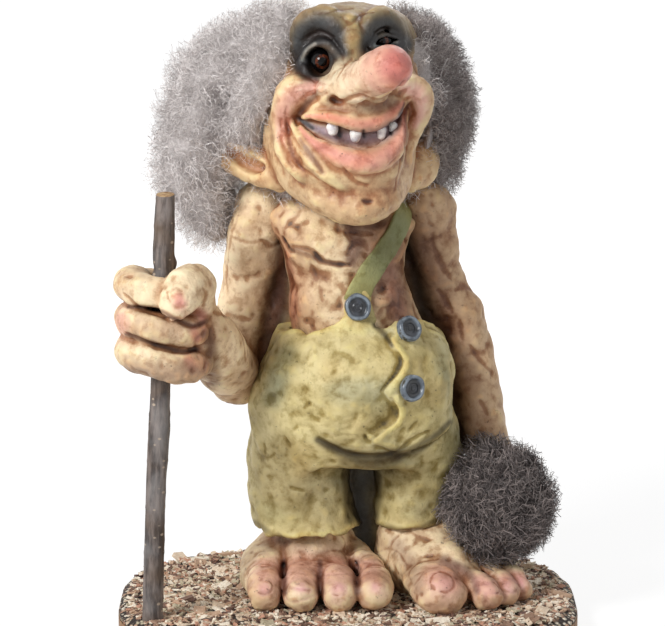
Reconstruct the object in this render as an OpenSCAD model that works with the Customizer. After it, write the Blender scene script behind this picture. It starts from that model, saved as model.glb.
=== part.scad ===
// Norwegian troll figure: a barefoot troll in one-strap trousers, leaning on a twig staff,
// on a board covered with bark. The castings are rubber composition, the hair is wool.
// Millimetres. +Z is up, the troll faces -Y, and the origin is the middle of the board's underside.

/* [Base] */
// Width of the base board
base_w = 230; // [216:1:280]
// Depth of the base board
base_d = 156; // [148:1:200]
// Thickness of the base board
board_t = 9; // [7:0.5:18]
// Thickness of the glued ground cover
cover_t = 4; // [2:0.5:8]
// Length of one bark chip
chip_len = 9; // [7:0.5:11]
// Thickness of one bark chip
chip_t = 1.6; // [0.8:0.1:3]

/* [Feet and legs] */
// Height of the crotch over the ground
leg_h = 68; // [62:1:80]
// Width of the right foot across the ball
foot_w = 76; // [70:1:80]
// Diameter of a small toe of the right foot
toe_d = 17; // [14:0.5:18]
// Width of the left big toe
big_toe_w = 29; // [24:0.5:31]
// Diameter of an ankle inside the cuff
ankle_d = 37; // [30:1:38]
// Height of the cuffs over the ground
cuff_z = 33; // [31:1:37]

/* [Body] */
// Height from the crotch to the trousers' rim
rise = 74; // [70:1:80]
// Width of the belly
belly_w = 100; // [96:1:108]
// Depth of the belly, front to back
belly_d = 84; // [80:1:92]
// Width of the chest
chest_w = 63; // [58:1:68]
// Depth of the chest
chest_d = 54; // [50:1:60]
// Height from the rim to the shoulders
chest_h = 50; // [48:1:56]
// Thickness of the trousers' flap over the belly
flap_t = 2.2; // [1:0.1:3]
// Width of the shoulder strap
strap_w = 11; // [8:0.5:14]
// Thickness of the shoulder strap
strap_t = 2; // [1:0.1:3]
// Diameter of a button
button_d = 13; // [10:0.5:15]
// Thickness of a button
button_t = 3; // [2:0.1:4]

/* [Arms] */
// Thickness of the webs between the limbs and the body
web_t = 8; // [6:0.5:10]
// Diameter of the upper arms
arm_d = 27; // [24:0.5:29]
// Thickness of a finger
finger_d = 17; // [15:0.5:18]
// Drop from the shoulders to the fist round the staff
fist_drop = 46; // [42:1:52]
// Drop from the shoulders to the left hand on the tail
left_reach = 134; // [132:1:136]
// Diameter of the moulded plug that holds an arm to the chest
plug_d = 12; // [8:0.5:14]
// Length of the arm's plug inside the chest
plug_l = 7; // [4:0.5:10]

/* [Head] */
// Width of the head
head_w = 87; // [84:1:92]
// Depth of the head, front to back
head_d = 94; // [90:1:100]
// Height from chin to crown
head_h = 105; // [101:1:112]
// Thickness of the nose
nose_d = 21; // [18:0.5:24]
// Diameter of a glass eye
eye_d = 11; // [9:0.5:13]
// Width of a tooth
tooth_w = 5; // [3.5:0.5:6]
// Height of a tooth
tooth_h = 6; // [4:0.5:8]

/* [Staff and tail] */
// Diameter of the twig at its foot
staff_d = 10; // [8:0.5:11]
// Height of the staff over the ground
staff_h = 210; // [200:1:230]
// Distance of the staff's foot from the middle, to the troll's right
staff_x = 96; // [94:1:98]
// Distance of the staff's foot from the middle, to the front
staff_y = 56; // [54:1:58]
// Depth of the staff's socket in the base
staff_seat = 8; // [5:0.5:10]
// Diameter of the tail
tail_d = 9; // [7:0.5:11]
// Diameter of the wire inside the tail
wire_d = 2; // [1:0.1:3]
// Width of the wool tuft
tuft_w = 46; // [40:1:52]
// Height of the wool tuft
tuft_h = 54; // [48:1:60]

/* [Fixings] */
// Diameter of a foot screw's shank
screw_d = 4; // [3:0.5:5]
// Diameter of a foot screw's countersunk head
screw_head_d = 8; // [7:0.5:10]
// Depth of a foot screw in its foot
screw_bite = 15; // [10:1:18]
// Gap left between two pieces that seat on each other
seat_gap = 0.2; // [0.1:0.05:0.4]

/* [Hidden] */

ground_z = board_t + cover_t;
rim_z = leg_h + rise;
shoulder_z = rim_z + chest_h;
chin_z = shoulder_z + 2;
fist_z = shoulder_z - fist_drop;
right_shoulder = [-44, 8, shoulder_z + 2];
left_shoulder = [37, 11, shoulder_z + 2];
screw_spots = [[-20, -2], [38, -2]];

skin_colour = [0.78, 0.64, 0.44];
trouser_colour = [0.62, 0.60, 0.36];
wool_colour = [0.56, 0.53, 0.53];
bark_colour = [0.50, 0.40, 0.30];

// Vectors, and smooth curves through a few stations
function at(list, i) = list[max(0, min(len(list) - 1, i))];
function point(s) = [s[0], s[1], s[2]];
function unit(v) = v / norm(v);
function mix(a, b, t) = a + (b - a) * t;
function spline(a, b, c, d, t) =
    (2*b + (c - a)*t + (2*a - 5*b + 4*c - d)*t*t + (3*b - a - 3*c + d)*t*t*t) / 2;
function smooth(list, steps) =
    [for (i = [0:len(list) - 2]) for (k = [0:steps - 1])
        spline(at(list, i - 1), at(list, i), at(list, i + 1), at(list, i + 2), k / steps),
     list[len(list) - 1]];
function middle(ring) = [for (i = [0:2]) [for (p = ring) p[i]] * [for (p = ring) 1/len(ring)]];
function raised(list, dz) = [for (s = list) [for (i = [0:len(s) - 1]) s[i] + (i == 2 ? dz : 0)]];

// One ring of points round a centre, on the ellipse with half axes ra along u and rb along v
function ring(c, u, v, ra, rb, sides, lump = 0, phase = 0) =
    [for (k = [0:sides - 1])
        let (a = 360*k/sides, f = 1 + lump*sin(3*a + phase))
        c + u*ra*f*cos(a) + v*rb*f*sin(a)];

function limb_ring(f, i, way, q, dome, sides, ref, grow, upright, lump) =
    let (t = upright ? [0, 0, 1] : unit(point(at(f, i + 1)) - point(at(f, i - 1))),
         u = unit(cross(ref, t)), v = cross(t, u), s = f[i],
         out = dome * (min(s[3], s[4]) + grow) * sin(q))
    ring(point(s) + t*way*out, u, v, (s[3] + grow)*cos(q), (s[4] + grow)*cos(q), sides, lump, 70*i);

// A closed skin over a stack of rings
module skin_over(rings) {
    n = len(rings);
    sides = len(rings[0]);
    points = [for (r = rings) each r, middle(rings[0]), middle(rings[n - 1])];
    faces = [for (i = [0:n - 2]) for (k = [0:sides - 1])
                 let (a = i*sides + k, b = i*sides + (k + 1) % sides)
                 each [[b + sides, b, a], [a + sides, b + sides, a]],
             for (k = [0:sides - 1]) [k, (k + 1) % sides, n*sides],
             for (k = [0:sides - 1]) [(n - 1)*sides + (k + 1) % sides, (n - 1)*sides + k, n*sides + 1]];
    polyhedron(points, faces);
}

// A rounded limb through stations [x, y, z, half width, half depth]
module limb(stations, sides = 12, steps = 2, ref = [0, 1, 0], grow = 0, dome = 0.9, upright = false,
            lump = 0) {
    f = smooth(stations, steps);
    last = len(f) - 1;
    skin_over([
        for (q = dome > 0 ? [80, 45] : [])
            limb_ring(f, 0, -1, q, dome, sides, ref, grow, upright, lump),
        for (i = [0:last]) limb_ring(f, i, 0, 0, 0, sides, ref, grow, upright, lump),
        for (q = dome > 0 ? [45, 80] : [])
            limb_ring(f, last, 1, q, dome, sides, ref, grow, upright, lump)]);
}

// The upright forms: stations [x, y, z, half width, half depth]
belly = let (w = belly_w/2, d = belly_d/2) raised([
    [3, 1, 0, 0.90*w, 0.78*d], [2, -2, 15, 0.99*w, 0.92*d], [2, -4, 30, w, d], [3, -5, 46, 0.97*w, d],
    [4, -4, 60, 0.88*w, 0.92*d], [4, -2, rise, 0.74*w, 0.78*d]], leg_h);
trunk = let (w = chest_w/2, d = chest_d/2) raised([
    [4, -3, -24, 0.92*w, 0.90*d], [5, -3, -10, 1.02*w, d], [3, -2, 0, 1.04*w, 1.02*d],
    [-1, 1, 18, 0.94*w, d], [-2, 3, 34, w, d], [-3, 6, chest_h, 1.06*w, 0.92*d],
    [-3, 8, chest_h + 10, 0.72*w, 0.70*d], [-2, 4, chest_h + 20, 0.50*w, 0.55*d]], rim_z);
skull = let (w = head_w/2, d = head_d/2, h = head_h) raised([
    [5, -44, 0, 0.30*w, 0.24*d], [4, -40, 0.05*h, 0.50*w, 0.40*d], [1, -31, 0.15*h, 0.78*w, 0.66*d],
    [-1, -20, 0.28*h, 0.95*w, 0.92*d], [-2, -14, 0.43*h, w, d], [-1, -11, 0.58*h, 0.94*w, 0.98*d],
    [0, -9, 0.72*h, 0.83*w, 0.94*d], [1, -9, 0.85*h, 0.74*w, 0.88*d], [1, -14, 0.925*h, 0.64*w, 0.73*d],
    [1, -20, 0.97*h, 0.50*w, 0.53*d], [1, -25, h, 0.28*w, 0.30*d]], chin_z);
belly_sides = 32;
trunk_sides = 24;
skull_sides = 24;
upright_steps = 2;

// The point on an upright form at height z, turned a degrees from the front, moved out
function skin(form, a, z, out = 0) =
    let (f = smooth(form, upright_steps),
         i = max([for (k = [0:len(f) - 2]) f[k][2] <= z ? k : 0]),
         s = mix(f[i], f[i + 1], (z - f[i][2]) / (f[i + 1][2] - f[i][2])))
    [s[0] + (s[3] + out)*sin(a), s[1] - (s[4] + out)*cos(a), z];

// A band that lies on an upright form: stations [angle, z, half width in degrees]
module band(form, stations, inner, outer, across = 3, steps = 3) {
    skin_over([for (s = smooth(stations, steps))
        [for (k = [0:across]) skin(form, s[0] - s[2] + 2*s[2]*k/across, s[1], outer),
         for (k = [across:-1:0]) skin(form, s[0] - s[2] + 2*s[2]*k/across, s[1], inner)]]);
}

// Base
function power(x, e) = sign(x) * pow(abs(x), e);
function outline(a, inset = 0) =
    let (e = sin(a) < 0 ? 2/4.5 : 2/2.6)
    [(base_w/2 - inset)*power(cos(a), e), (base_d/2 - inset)*power(sin(a), e)];
outline_points = 72;

module base_board() {
    color(bark_colour * 0.7) difference() {
        linear_extrude(board_t) polygon([for (i = [0:outline_points - 1]) outline(360*i/outline_points)]);
        for (p = screw_spots) translate([p[0], p[1], 0]) screw_hole(seat_gap);
        translate([0, 0, ground_z]) staff_form(seat_gap);
    }
}

// The crumbled edge drops from the flat top in two steps
module ground_cover() {
    color(bark_colour) difference() {
        skin_over([for (s = [[0, 0.6, 0.6], [0.45, 0.8, 0.7], [0.8, 2.2, 0.9], [1, 5, 1.4]])
            [for (i = [0:outline_points - 1])
                let (a = 360*i/outline_points, crumble = s[2]*(1 + 0.6*sin(13*a) + 0.4*sin(29*a)))
                each [concat(outline(a, s[1] + crumble), board_t + cover_t*s[0])]]]);
        for (p = screw_spots) translate([p[0], p[1], 0]) screw_hole(seat_gap);
        translate([0, 0, ground_z]) staff_form(seat_gap);
    }
}

// The room that each sole takes: middle, half length and, for the left one, half width
right_sole = [-19, -6, 45];
left_sole = [51, -10, 46, 36];

// Bark chips lie on the cover in a sunflower pattern, clear of the feet and the staff
chip_count = 240;
function beside(p, sole, half_w) =
    norm([(p[0] - sole[0]) / (half_w + chip_len), (p[1] - sole[1]) / (sole[2] + chip_len)]) > 1;
function chip_spot(i) =
    let (r = sqrt((i + 0.5) / chip_count), a = i * 137.508, o = outline(a, chip_len/2 + 7)) o * r;
function free_spot(p) =
    beside(p, right_sole, foot_w/2) && beside(p, left_sole, left_sole[3])
    && norm(p + [staff_x, staff_y]) > staff_d/2 + chip_len*0.8;

module bark_chips() {
    color(bark_colour * 1.15)
    for (i = [0:chip_count - 1]) if (free_spot(chip_spot(i)))
        translate(concat(chip_spot(i), ground_z)) rotate(i * 77)
        linear_extrude(chip_t * (0.7 + 0.3*sin(i * 131)))
        polygon([for (k = [0:4])
            let (half = chip_len*(0.24 + 0.08*sin(97*i + 140*k)))
            [chip_len/2*cos(72*k), half*sin(72*k)]]);
}

module foot_screws() {
    color("silver") for (p = screw_spots) translate([p[0], p[1], 0]) screw_shape(0);
}

// A countersunk wood screw, driven up through the board
module screw_shape(clear) {
    head = (screw_head_d - screw_d) / 2;
    tip = ground_z + screw_bite;
    sunk = 0.6;
    rotate_extrude($fn = 48) polygon([
        [0, sunk], [screw_head_d/2 + clear, sunk], [screw_head_d/2 + clear, sunk + 0.8],
        [screw_d/2 + clear, sunk + 0.8 + head], [screw_d/2 + clear, tip - screw_d],
        [0.2 + clear, tip + clear], [0, tip + clear]]);
}
module screw_hole(clear) {
    screw_shape(clear);
    translate([0, 0, -1]) cylinder(d = screw_head_d + 2*clear, h = 2, $fn = 48);
}

// Feet
module sole_cut() {
    translate([-150, -150, -100]) cube([300, 300, 100]);
}

module right_foot_form(grow = 0) {
    w = foot_w / 2;
    limb([[-21, 36, 12, 0.48*w, 12], [-21, 18, 17, 0.64*w, 18], [-18, 0, 16, 0.82*w, 17],
          [-16, -16, 12, w, 12], [-15, -28, 10, w, 9]], 16, 2, [0, 0, 1], grow, 0.5);
    ankle(-20, 5, grow);
}
module right_toes() {
    spread = foot_w / 4.15;
    for (k = [0:3]) let (x = -14 + (k - 1.5)*spread, r = toe_d/2 - (k == 0 ? 0.5 : 0))
        limb([[x, -22, 11, 0.8*r, 0.8*r], [x, -33, 11.5, r, r], [x, k % 3 == 0 ? -42 : -44, 8.5, r, 0.95*r]],
             10, 2, [0, 0, 1], 0, 0.8);
}
module left_foot_form(grow = 0) {
    limb([[26, 28, 11, 16, 11], [33, 12, 17, 20, 18], [42, -6, 16, 25, 17],
          [52, -22, 12, 31, 12], [55, -29, 10, 30, 9]], 16, 2, [0, 0, 1], grow, 0.5);
    ankle(34, 6, grow);
}
module left_toes(grow = 0) {
    big = big_toe_w / 2;
    limb([[39, -24, 12, 0.8*big, 10], [43, -36, 12, big, 11], [45, -43, 9.5, big, 9.5]],
         12, 2, [0, 0, 1], grow, 0.8);
    for (t = [[62, -28, 69, -40, 7.5], [73, -22, 79, -33, 6.6], [80, -14, 86, -24, 6]])
        limb([[t[0], t[1], 11, 0.8*t[4], 0.8*t[4]], [(t[0] + t[2])/2, (t[1] + t[3])/2, 11, t[4], t[4]],
              [t[2], t[3], t[4], t[4], t[4]]], 8, 2, [0, 0, 1], grow, 0.8);
}
module ankle(x, y, grow) {
    r = ankle_d / 2;
    limb([[x, y, 14, r, r], [x, y, cuff_z + 12, r, r]], 16, 1, grow = grow, dome = 0);
}
module seated_foot(spot) {
    difference() {
        translate([0, 0, ground_z]) children();
        translate([0, 0, ground_z]) sole_cut();
        translate([spot[0], spot[1], 0]) screw_shape(seat_gap);
    }
}
module right_foot() {
    color(skin_colour) seated_foot(screw_spots[0]) union() {
        right_foot_form();
        right_toes();
    }
}
module left_foot() {
    color(skin_colour) seated_foot(screw_spots[1]) union() {
        left_foot_form();
        left_toes();
    }
}

// Trousers: the belly, two legs, and the flap whose scalloped edge carries two of the buttons.
// The strap's tab stands up from the rim and carries the third. A place is [angle, z, tilt].
tab_t = seat_gap + strap_t;
boss_d = button_d + 1.6;
shank_d = 4;
shank_l = 2.2;
button_spots = [[6, rim_z + 9, 8], [37, rim_z - 3, 25], [32, leg_h + 45, 9]];
tab = [[5, rim_z - 6, 24], [5, rim_z + 4, 21], [7, rim_z + 11, 15], [9, rim_z + 16, 11]];
flap = [[30, leg_h + 12, 5], [38, leg_h + 20, 28], [47, leg_h + 27, 26], [51, leg_h + 34, 25],
        [50, leg_h + 44, 32], [53, leg_h + 52, 28], [54, leg_h + 59, 25], [50, leg_h + 66, 27],
        [44, rim_z - 3, 16]];
rim_dip = 3;
leg_stations = [
    [[-20, -1, cuff_z, 28, 26], [-24, 1, cuff_z + 12, 26.5, 25.5], [-26, 2, cuff_z + 25, 25, 26],
     [-24, 1, leg_h + 8, 26, 28], [-18, 0, leg_h + 24, 26, 28]],
    [[33, 3, cuff_z + 2, 19.5, 20], [35, 4, cuff_z + 13, 21, 22], [36, 4, cuff_z + 26, 22, 24],
     [33, 3, leg_h + 10, 23, 26], [27, 2, leg_h + 24, 24, 26]]];

// The belly's rim dips at both sides
module belly_form(grow = 0) {
    f = smooth(belly, upright_steps);
    last = len(f) - 1;
    skin_over([for (i = [0:last]) [for (k = [0:belly_sides - 1])
        let (a = 360*k/belly_sides, s = f[i], dip = rim_dip*(1 - cos(2*a))*pow(i/last, 4))
        [s[0] + (s[3] + grow)*sin(a), s[1] - (s[4] + grow)*cos(a), s[2] - dip]]]);
}
module tab_form(grow = 0) {
    band(trunk, [for (s = tab) [s[0], s[1] + grow, s[2] + grow]], -1, tab_t + grow, 3, 2);
}
module trouser_form(grow = 0) {
    belly_form(grow);
    for (leg = leg_stations) limb(leg, 18, 2, grow = grow, dome = 0, upright = true);
    limb([for (s = [[cuff_z + 4, 12], [leg_h - 6, 12], [leg_h + 16, 10]]) [7, 8, s[0], s[1], web_t/2 + 1]],
         8, 1, grow = grow, dome = 0, upright = true);
}
module button_place(p, form = belly) {
    here = skin(form, p[0], p[1]);
    translate(here) rotate([90 - p[2], 0, p[0]]) children();
}
module on_buttons(shift = 0) {
    for (i = [0:2])
        button_place(button_spots[i], i == 0 ? trunk : belly)
        translate([0, 0, (i == 0 ? tab_t : flap_t) + 1 + shift]) children();
}
module trousers() {
    color(trouser_colour) difference() {
        union() {
            translate([0, 0, ground_z]) trouser_form();
            translate([0, 0, ground_z]) band(belly, flap, -2, flap_t, 6, 2);
            translate([0, 0, ground_z]) tab_form();
            translate([0, 0, ground_z]) on_buttons(-4) cylinder(d = boss_d, h = 4, $fn = 48);
        }
        translate([0, 0, ground_z]) {
            torso_form(seat_gap);
            ankle(-20, 5, seat_gap);
            ankle(34, 6, seat_gap);
            right_foot_form(seat_gap);
            left_foot_form(seat_gap);
            on_buttons(-shank_l - seat_gap) cylinder(d = shank_d + 2*seat_gap, h = 5, $fn = 48);
            on_buttons(0) cylinder(d = button_d + 1, h = 9, $fn = 48);
            tail_form(seat_gap);
        }
    }
}

// A button has a raised rim, a sunk middle and a shank at its back
module buttons() {
    r = button_d / 2;
    color([0.23, 0.25, 0.28]) translate([0, 0, ground_z]) on_buttons()
    rotate_extrude($fn = 48) polygon([
        [0, -shank_l], [shank_d/2, -shank_l], [shank_d/2, 0], [r, 0], [r, button_t*0.7],
        [r - 0.6, button_t], [r - 1.8, button_t], [r - 2.4, button_t*0.55], [0, button_t*0.5]]);
}

// Torso
module torso_form(grow = 0) {
    limb(trunk, trunk_sides, upright_steps, grow = grow, dome = 0.3, upright = true);
}
module torso() {
    color(skin_colour) difference() {
        translate([0, 0, ground_z]) torso_form();
        translate([0, 0, ground_z]) {
            plug(right_plug_axis, seat_gap);
            plug(left_plug_axis, seat_gap);
        }
    }
}

// A ribbon along stations [angle, z, tilt] on an upright form, lying from inner to outer off it
module ribbon(form, stations, width, inner, outer) {
    f = smooth(stations, 2);
    path = [for (s = f) skin(form, s[0], s[1])];
    skin_over([for (i = [0:len(f) - 1])
        let (n = [sin(f[i][0])*cos(f[i][2]), -cos(f[i][0])*cos(f[i][2]), sin(f[i][2])],
             side = unit(cross(n, at(path, i + 1) - at(path, i - 1)))*width/2)
        [path[i] + side + n*inner, path[i] + n*(inner + strap_sag), path[i] - side + n*inner,
         path[i] - side + n*outer, path[i] + n*(outer + strap_sag), path[i] + side + n*outer]]);
}

// The strap goes from the tab over the left shoulder and down the back into the rim
strap_sag = 0.4;
strap_path = [[5, rim_z + 11, 0], [20, rim_z + 26, 0], [38, rim_z + 39, 5], [56, shoulder_z, 20],
              [84, shoulder_z + 7, 45], [112, shoulder_z + 7, 45], [136, shoulder_z - 1, 20],
              [156, rim_z + 28, 5], [166, rim_z + 6, 0], [170, rim_z - 6, 0]];
module strap_form(grow = 0) {
    ribbon(trunk, strap_path, strap_w + 2*grow, seat_gap - grow, seat_gap + strap_t + grow);
}
module strap() {
    color(trouser_colour * 0.9) translate([0, 0, ground_z]) difference() {
        strap_form();
        belly_form(seat_gap);
        tab_form(seat_gap);
        on_buttons(-6) cylinder(d = boss_d + 2*seat_gap, h = 12, $fn = 48);
    }
}

// Arms. Each ends at the shoulder in a plug that enters the chest
right_plug_axis = [right_shoulder + [12, -1, -6], [-1, 0, 0]];
left_plug_axis = [left_shoulder + [-10, 0, -6], [1, 0, 0]];
module plug(axis, clear) {
    translate(axis[0] - axis[1]*(plug_l + clear)) rotate([0, 90*axis[1][0], 0])
        cylinder(d = plug_d + 2*clear, h = plug_l + 14, $fn = 48);
}

module right_arm_form(grow = 0) {
    r = arm_d / 2;
    spot = point(staff_at(fist_z));
    limb([concat(right_shoulder, [0.9*r, 1.05*r]), [-46, 9, shoulder_z - 20, 1.02*r, 1.05*r],
          [-52, 10, fist_z + 2, 0.9*r, r], [-55, 9, fist_z - 19, 1.02*r, 1.05*r],
          [-56, 2, fist_z - 36, 1.05*r, 1.05*r], [-60, -14, fist_z - 28, 1.05*r, 1.1*r],
          concat(spot + [24, 18, -14], [1.08*r, 1.05*r]), concat(spot + [16, 9, -5], [1.15*r, 1.35*r])],
         12, 2, [1, 0, 0], grow, 0.7);
}
module fist(spot) {
    r = finger_d / 2;
    reach = staff_d/2 + r;
    translate(spot) {
        for (k = [0:2]) rotate(5*(k - 1)) let (z = 0.94*finger_d*(1 - k), drop = 5 + 2*k)
            limb([[14 + k, 8, z, r, r], [3, reach - 0.4*k, z, r, r], [-reach*0.75, reach*0.7, z + 1, r, r],
                  [-reach*1.02, -2, z + 1, 1.05*r, r], [-reach*0.65, -reach*0.85, z, r, r],
                  [3, -reach*1.05, z - drop*0.5, 0.95*r, 0.95*r], [14, -reach*0.8, z - drop, 0.8*r, 0.8*r]],
                 8, 1, [0, 0, 1], 0, 0.8);
        limb([[17, 7, -4, 1.25*r, 1.2*r], [20, -3, 10, 1.2*r, 1.15*r], [18, -12, 20, 1.1*r, 1.1*r]],
             10, 2, [1, 0, 0], 0, 0.8);
        limb([[19, -11, 20, 1.1*r, 1.05*r], [12, -19, 18, 1.1*r, 1.0*r], [5, -22, 11, 0.95*r, 0.8*r]],
             10, 2, [0, 0, 1], 0, 0.8);
    }
}
// Webs of the casting close the gaps between the arms and the body
module web(list) {
    limb([for (s = list) concat(s, web_t/2)], 8, 1, dome = 0.4, upright = true);
}
module right_arm() {
    color(skin_colour) translate([0, 0, ground_z]) {
        difference() {
            union() {
                right_arm_form();
                web([[-42, 9, rim_z + 2, 10], [-40, 9, rim_z + 9, 12], [-37, 8, shoulder_z - 8, 12]]);
                fist(point(staff_at(fist_z)));
            }
            staff_form(seat_gap);
            torso_form(seat_gap);
        }
        plug(right_plug_axis, 0);
    }
}

tail_grip = [75, 6, shoulder_z - left_reach];
module left_arm_form(grow = 0) {
    r = arm_d / 2;
    limb([concat(left_shoulder, [0.85*r, 0.95*r]), [42, 14, shoulder_z - 16, 0.8*r, 0.95*r],
          [47, 18, shoulder_z - 39, 0.78*r, 0.95*r], [56, 20, shoulder_z - 56, 0.88*r, r],
          [63, 18, shoulder_z - 80, 0.85*r, 0.95*r], [69, 14, shoulder_z - 108, 0.9*r, 0.95*r],
          concat(tail_grip + [-3, 4, 13], [0.85*r, 0.95*r]), concat(tail_grip, [0.9*r, 1.15*r])],
         12, 2, [0, 1, 0], grow, 0.7);
    for (k = [0:2])
        limb([[80, 17 - 10*k, tail_grip[2] + 2, 6, 6], [85, 15 - 10*k, tail_grip[2] - 7, 6, 6],
              [79, 13 - 10*k, tail_grip[2] - 13, 5.5, 5.5], [71, 13 - 10*k, tail_grip[2] - 10, 5, 5]],
             8, 1, [0, 1, 0], grow, 0.8);
}
module left_arm() {
    color(skin_colour) translate([0, 0, ground_z]) {
        difference() {
            union() {
                left_arm_form();
                web([[57, 15, leg_h + 14, 9], [55, 16, cuff_z + 77, 11], [47, 16, rim_z, 14],
                     [38, 14, shoulder_z - 12, 10]]);
            }
            torso_form(seat_gap);
            strap_form(seat_gap);
            trouser_form(seat_gap);
            tail_form(seat_gap);
        }
        plug(left_plug_axis, 0);
    }
}

// Head. A place on the face is its angle from the front, its share of the height, and how far it stands out
function face(a, t, out = 0) = skin(skull, a, chin_z + t*head_h, out);
function on_face(list) = [for (s = list) concat(face(s[0], s[1], s[2]), [s[3], s[4]])];
module fold(list, sides = 8, steps = 2, ref = [0, 1, 0]) {
    limb(on_face(list), sides, steps, ref, 0, 0.8);
}
// The right eye is open, the left one squints
eye_spots = [[-25, 0.76], [32, 0.85]];
eye_open = [1.15, 0.95];
// Half thickness of a tooth's neck and length of its root into the gum
tooth_t = 2.4;
tooth_root = 5;
tooth_spots = [[-9, 0.46], [7, 0.44], [24, 0.455], [32, 0.48]];
smile = [[-60, 0.59, 4, 2, 2], [-32, 0.48, -2, 4, 4], [-3, 0.44, -3, 5, 5], [21, 0.44, -1, 5, 5],
         [40, 0.50, 2, 4, 4], [53, 0.61, 2, 2, 2]];

module nose() {
    r = nose_d / 2;
    fold([[-5, 0.80, -4, 0.5*r, 0.6*r], [-8, 0.72, 4, 0.75*r, 0.8*r], [-3, 0.695, 14, r, r],
          [8, 0.74, 30, 1.02*r, 1.02*r], [15, 0.80, 43, 1.08*r, 1.08*r]], 14, 2, [1, 0, 0]);
    for (wing = [[-15, 0.635, 6], [16, 0.66, 12]])
        translate(face(wing[0], wing[1], wing[2])) sphere(0.8*r, $fn = 24);
}
brows = [
    [[-46, 0.84, 1, 4, 4], [-42, 0.91, 3, 5, 5], [-28, 0.945, 3, 5, 5], [-10, 0.89, 3, 5, 4]],
    [[2, 0.89, 3, 5, 4], [16, 0.94, 2, 5, 5], [36, 0.95, 2, 5, 5], [48, 0.88, 0, 4, 4]]];
ear_places = [[face(-100, 0.19, 0), face(-104, 0.37, 27)], [face(112, 0.18, 2), face(112, 0.33, 10)]];
ear_t = 5;
module ear_form(k, grow = 0) {
    root = ear_places[k][0];
    tip = ear_places[k][1];
    lobe = mix(root, tip, 0.45) + [0, 0, -3];
    limb([concat(root, [8, ear_t]), concat(lobe, [9, ear_t]), concat(mix(lobe, tip, 0.6), [6, 0.7*ear_t]),
          concat(tip, [2, 0.4*ear_t])], 10, 2, [0, 1, 0], grow, 0.7);
}
module ear(k) {
    root = ear_places[k][0];
    tip = ear_places[k][1];
    dent = mix(root, tip, 0.45) + [0, -ear_t, -3];
    difference() {
        ear_form(k);
        limb([concat(mix(root, dent, 0.5), [4, 2.5]), concat(dent, [5, 2.5]),
              concat(mix(dent, tip, 0.6), [2.5, 1.5])], 8, 2, [0, 1, 0], 0, 0.7);
    }
}
module head_form() {
    limb(skull, skull_sides, 2, dome = 0.3, upright = true);
    nose();
    for (b = brows) fold(b, 8, 1);
    fold([[-57, 0.59, 4, 4, 4], [-40, 0.53, 1, 6, 5], [-18, 0.51, 0, 6, 5], [4, 0.49, 1, 6, 5],
          [23, 0.51, 3, 6, 5], [39, 0.58, 3, 6, 5], [50, 0.63, 3, 4, 4]], 8);
    fold([[-57, 0.57, 4, 4, 4], [-41, 0.44, 0, 7, 6], [-18, 0.33, -1, 8, 7], [7, 0.27, -1, 8.5, 7],
          [29, 0.30, 1, 8, 7], [43, 0.45, 1, 7, 6], [52, 0.60, 3, 4, 4]], 8);
    fold([[-34, 0.66, -2, 5, 5], [-47, 0.61, 1, 7, 6], [-54, 0.52, 1, 6, 5], [-52, 0.40, -1, 5, 4],
          [-45, 0.28, -4, 4, 4]], 8, 1);
    fold([[48, 0.68, 0, 5, 5], [58, 0.60, 2, 7, 6], [62, 0.48, 0, 5, 4]], 8, 1);
    fold([[-26, 0.14, -6, 9, 8], [5, 0.10, -3, 11, 9], [40, 0.14, -4, 9, 8]], 8, 1);
    ear(0);
    ear(1);
}
module eye_at(k, out = 0) {
    translate([0, 0, ground_z]) translate(face(eye_spots[k][0], eye_spots[k][1], out + 1.5 - eye_d/2))
        rotate([90, 0, eye_spots[k][0]]) children();
}
module tooth(k, grow = 0) {
    p = face(tooth_spots[k][0], tooth_spots[k][1], 1);
    a = tooth_spots[k][0];
    translate(p) rotate(a) limb([
        [0, 0, -tooth_h/2, 0.46*tooth_w, 0.8*tooth_t], [0, 0, 0, 0.5*tooth_w, 0.9*tooth_t],
        [0, 0, tooth_h/2, 0.5*tooth_w, tooth_t]], 8, 1, grow = grow, dome = 0, upright = true);
    translate(p) rotate(a) translate([-0.35*tooth_w - grow, -0.5, -0.2*tooth_h - grow])
        cube([0.7*tooth_w + 2*grow, tooth_root + grow, 0.6*tooth_h + 2*grow]);
}
module head() {
    color(skin_colour) difference() {
        translate([0, 0, ground_z]) head_form();
        translate([0, 0, ground_z]) {
            fold(smile, 8, 2);
            for (k = [0:3]) tooth(k, seat_gap);
            torso_form(seat_gap);
        }
        for (k = [0, 1]) {
            eye_at(k) sphere(d = eye_d + 2*seat_gap, $fn = 48);
            eye_at(k, eye_d/2) sphere(d = eye_d*eye_open[k], $fn = 48);
        }
    }
}
module right_eye() {
    color([0.12, 0.08, 0.05]) eye_at(0) sphere(d = eye_d, $fn = 48);
}
module left_eye() {
    color([0.12, 0.08, 0.05]) eye_at(1) sphere(d = eye_d, $fn = 48);
}
module teeth() {
    color("ivory") translate([0, 0, ground_z]) for (k = [0:3]) tooth(k);
}

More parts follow.
